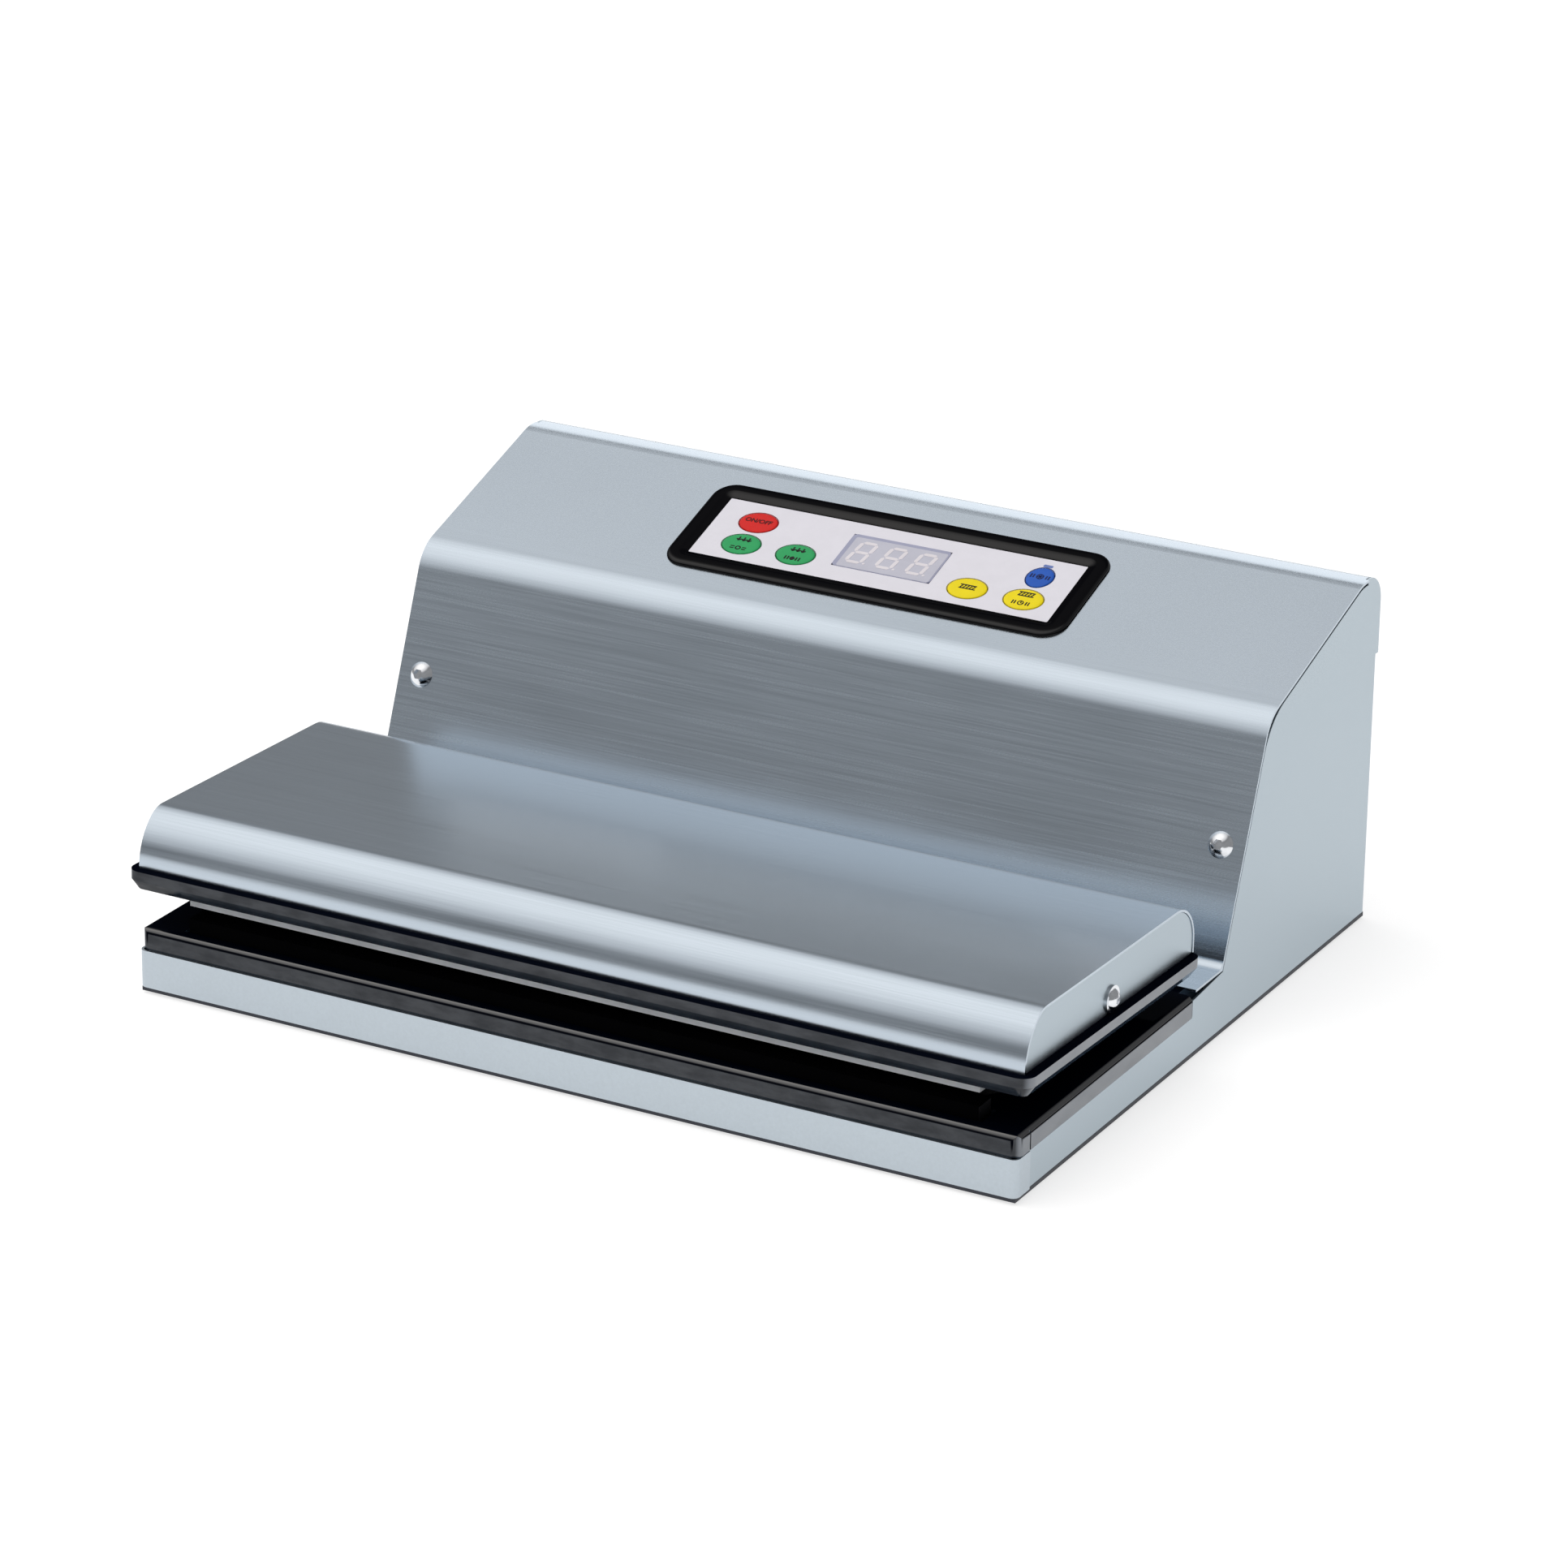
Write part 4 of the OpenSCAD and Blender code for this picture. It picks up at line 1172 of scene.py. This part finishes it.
    def mark_time(self) -> list[Piece]:
        """Makes a stitched seam over a clock between bars. Returns its pieces."""
        return [*self.seam(3.1, 7.2), self.ring(0, -2.7, 2.9, 0.5), self.bar(0, -2.3, 1.2, 0.4, 90),
                self.bar(0.4, -2.75, 1.0, 0.4),
                *[self.bar(x, -2.7, 2.3, 0.6, 90) for x in (-3.6, -2.5, 2.5, 3.6)]]

    def mark_pump(self) -> list[Piece]:
        """Makes a ring with blades between bars. Returns its pieces."""
        return [self.ring(0, 0.2, 3.4, 0.55), *[self.bar(0, 0.2, 2.4, 0.5, turn) for turn in (15, 75, 135)],
                *[self.bar(x, 0.2, 2.4, 0.65, 90) for x in (-4.0, -2.8, 2.8, 4.0)]]


@dataclass
class CarriedSolids:
    """Every solid that keeps its own shape, and the finish that it gets."""

    nodes: dict[Finish, tuple[str, ...]] = field(default_factory=lambda: {
        DARK_METAL: ("bottom_plate", "hinge_springs"),
        REAR_STEEL: ("rear_panel",),
        PLAIN_STEEL: ("lid_stiffener",),
        CHROME: ("pump_motor", "hinge_pins", "face_screws", "rear_screws", "bottom_screws", "lid_screws",
                 "lid_washers"),
        ALUMINIUM: ("vacuum_pump", "hinge_brackets", "hinge_leaves", "hinge_rivets"),
        DARK_BAR: ("seal_bar",),
        BRASS: ("heater_wire", "vacuum_port", "inlet_pins"),
        COIL: ("transformer",),
        BOARD: ("power_board", "control_board"),
        DARK_PLASTIC: ("release_valve", "display_module", "power_inlet", "lid_switch"),
        WHITE_FILM: ("key_panel",),
        RUBBER: ("rubber_feet",),
        SILICONE: ("vacuum_hose", "silicone_bar"),
        TAPE: ("bar_tape",)})

    def build(self) -> None:
        """Gives each solid its finish."""
        for finish, nodes in self.nodes.items():
            for node in nodes:
                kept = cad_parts[node]
                kept.data.materials.clear()
                kept.data.materials.append(finish.material())
                LOG.info("%s: dressed in %s", node, finish.name)


# ---- Studio ----


@dataclass
class Studio:
    """The camera, a plain white floor, a soft sky, one soft lamp overhead and a card to reflect.

    Lengths are in millimetres, except the lamp's size and the places, which are in metres. The sky
    is pairs of a position and a level, from the side that faces away from bright_side to bright_side.
    """

    azimuth: float = 28.529
    elevation: float = 21.758
    roll: float = 0.770
    distance: float = 2522.95
    aim: Pair = (-8.459, -67.895)
    focal: float = 7691.3
    frame_size: int = 1932
    sensor: float = 36.0
    lift: float = 1.0
    floor_side: float = 60000.0
    floor_level: float = -0.1
    floor_grey: float = 0.50
    floor_glow: float = 0.70
    bright_side: Place = (-0.411, -0.158, 0.898)
    sky: Profile = ((0.0, 0.18), (0.38, 0.195), (0.57, 0.165), (0.65, 0.27),
                    (0.72, 0.49), (0.80, 0.55), (0.90, 0.72), (1.0, 0.84))
    sky_strength: float = 1.6
    lamp_at: Place = (-0.5, -0.3, 2.4)
    lamp_aim: Place = (0.0, 0.0, 0.1)
    lamp_size: float = 2.2
    lamp_power: float = 16.0
    card: Pair = (450.0, 16.0)
    card_at: Place = (-0.02, 0.1635, 0.160)
    card_glow: float = 1.4

    def build(self) -> None:
        """Builds the camera, the floor, the sky, the lamp and the card."""
        self.build_camera()
        self.build_floor()
        self.build_sky()
        self.build_lamp()
        self.build_card()

    def build_camera(self) -> None:
        """Stands the camera at its place."""
        azimuth, elevation, roll = (math.radians(v) for v in (self.azimuth, self.elevation, self.roll))
        level = math.cos(elevation)
        back = Vector((math.sin(azimuth) * level, -math.cos(azimuth) * level, math.sin(elevation)))
        right = Vector((0, 0, 1)).cross(back).normalized()
        turned = Matrix.Rotation(-roll, 3, "Z") @ Matrix((right, back.cross(right), back))
        middle = Vector((*self.aim, -self.distance)) * MM
        clear()
        bpy.ops.object.camera_add()
        camera = bpy.context.active_object
        camera.name = "view"
        stand = turned.transposed().to_4x4()
        stand.translation = Vector((0, 0, self.lift * MM)) - turned.transposed() @ middle
        camera.matrix_world = stand
        camera.data.sensor_fit = "HORIZONTAL"
        camera.data.sensor_width = self.sensor
        camera.data.lens = self.focal / self.frame_size * self.sensor
        camera.data.clip_start = 0.01
        camera.data.clip_end = 200.0
        bpy.context.scene.camera = camera

    @staticmethod
    def seen_by(graph: Graph, *kinds: str) -> Number:
        """Tells some kinds of ray from the others.

        Args:
            graph: The graph.
            kinds: The rays' names, such as Camera.

        Returns:
            A value that is 1 for those rays and 0 for the others.
        """
        path = graph.add("ShaderNodeLightPath")
        first, *others = [graph.number(path, f"Is {kind} Ray") for kind in kinds]
        for other in others:
            first = first.math("MAXIMUM", other)
        return first

    def build_floor(self) -> None:
        """Lays a floor that shows white and keeps the object's shadow."""
        floor = flat("floor", self.floor_side, self.floor_side, z=self.floor_level)
        material, graph = new_material("white_floor")
        glowing = self.seen_by(graph, "Camera", "Glossy", "Transmission") * self.floor_glow
        paper = graph.add("ShaderNodeBsdfDiffuse", None, {"Color": (*[self.floor_grey] * 3, 1)})
        glow = graph.add("ShaderNodeEmission", None, {"Color": WHITE, "Strength": glowing})
        both = graph.add("ShaderNodeAddShader", None, {0: paper.outputs[0], 1: glow.outputs[0]})
        graph.add("ShaderNodeOutputMaterial", None, {"Surface": both.outputs[0]})
        floor.data.materials.append(material)

    def build_sky(self) -> None:
        """Makes a soft sky that is brightest at one place overhead, behind a white backdrop."""
        world = bpy.data.worlds.new("studio")
        world.use_nodes = True
        graph = Graph(world.node_tree)
        way = graph.add("ShaderNodeTexCoord").outputs["Generated"]
        dot = graph.add("ShaderNodeVectorMath", {"operation": "DOT_PRODUCT"}, {0: way, 1: self.bright_side})
        ramp = graph.add("ShaderNodeValToRGB", None, {"Fac": dot.outputs["Value"]})
        stops = ramp.color_ramp.elements
        while len(stops) < len(self.sky):
            stops.new(0.5)
        for stop, (position, level) in zip(stops, self.sky):
            stop.position = position
            stop.color = (level * (0.98 + level * 0.06), level, level * (1.03 - level * 0.07), 1)
        light = {"Color": ramp.outputs[0], "Strength": self.sky_strength}
        sky = graph.add("ShaderNodeBackground", None, light)
        backdrop = graph.add("ShaderNodeBackground", None, {"Color": WHITE})
        seen = self.seen_by(graph, "Camera", "Transmission")
        mixed = graph.add("ShaderNodeMixShader", None, {0: seen, 1: sky.outputs[0], 2: backdrop.outputs[0]})
        graph.add("ShaderNodeOutputWorld", None, {"Surface": mixed.outputs[0]})
        bpy.context.scene.world = world

    def build_lamp(self) -> None:
        """Hangs one broad soft lamp overhead."""
        clear()
        bpy.ops.object.light_add(type="AREA", location=self.lamp_at)
        lamp = bpy.context.active_object
        lamp.name = "overhead_lamp"
        lamp.data.shape = "DISK"
        lamp.data.size = self.lamp_size
        lamp.data.energy = self.lamp_power
        lamp.visible_glossy = False
        back = Vector(self.lamp_at) - Vector(self.lamp_aim)
        lamp.rotation_euler = back.to_track_quat("Z", "Y").to_euler()

    def build_card(self) -> None:
        """Stands a low bright card behind the object, which only its reflections show."""
        card = flat("rear_card", *self.card)
        material, graph = new_material("card_glow")
        glow = graph.add("ShaderNodeEmission", None, {"Color": WHITE, "Strength": self.card_glow})
        graph.add("ShaderNodeOutputMaterial", None, {"Surface": glow.outputs[0]})
        card.data.materials.append(material)
        place(card, Matrix.Translation(self.card_at) @ Matrix.Rotation(math.radians(90), 4, "X"))
        for kind in ("camera", "diffuse", "shadow", "transmission"):
            setattr(card, f"visible_{kind}", False)


def main() -> None:
    """Builds every sub-assembly in order, then the studio."""
    logging.basicConfig(level=logging.INFO, format="%(name)s: %(message)s")
    for assembly in (CarriedSolids(), SheetMetal(), Gaskets(), ControlPanel(), Studio()):
        LOG.info("building %s", type(assembly).__name__)
        assembly.build()
    scene = bpy.context.scene
    scene.view_settings.view_transform = "Standard"


if __name__ == "__main__":
    main()
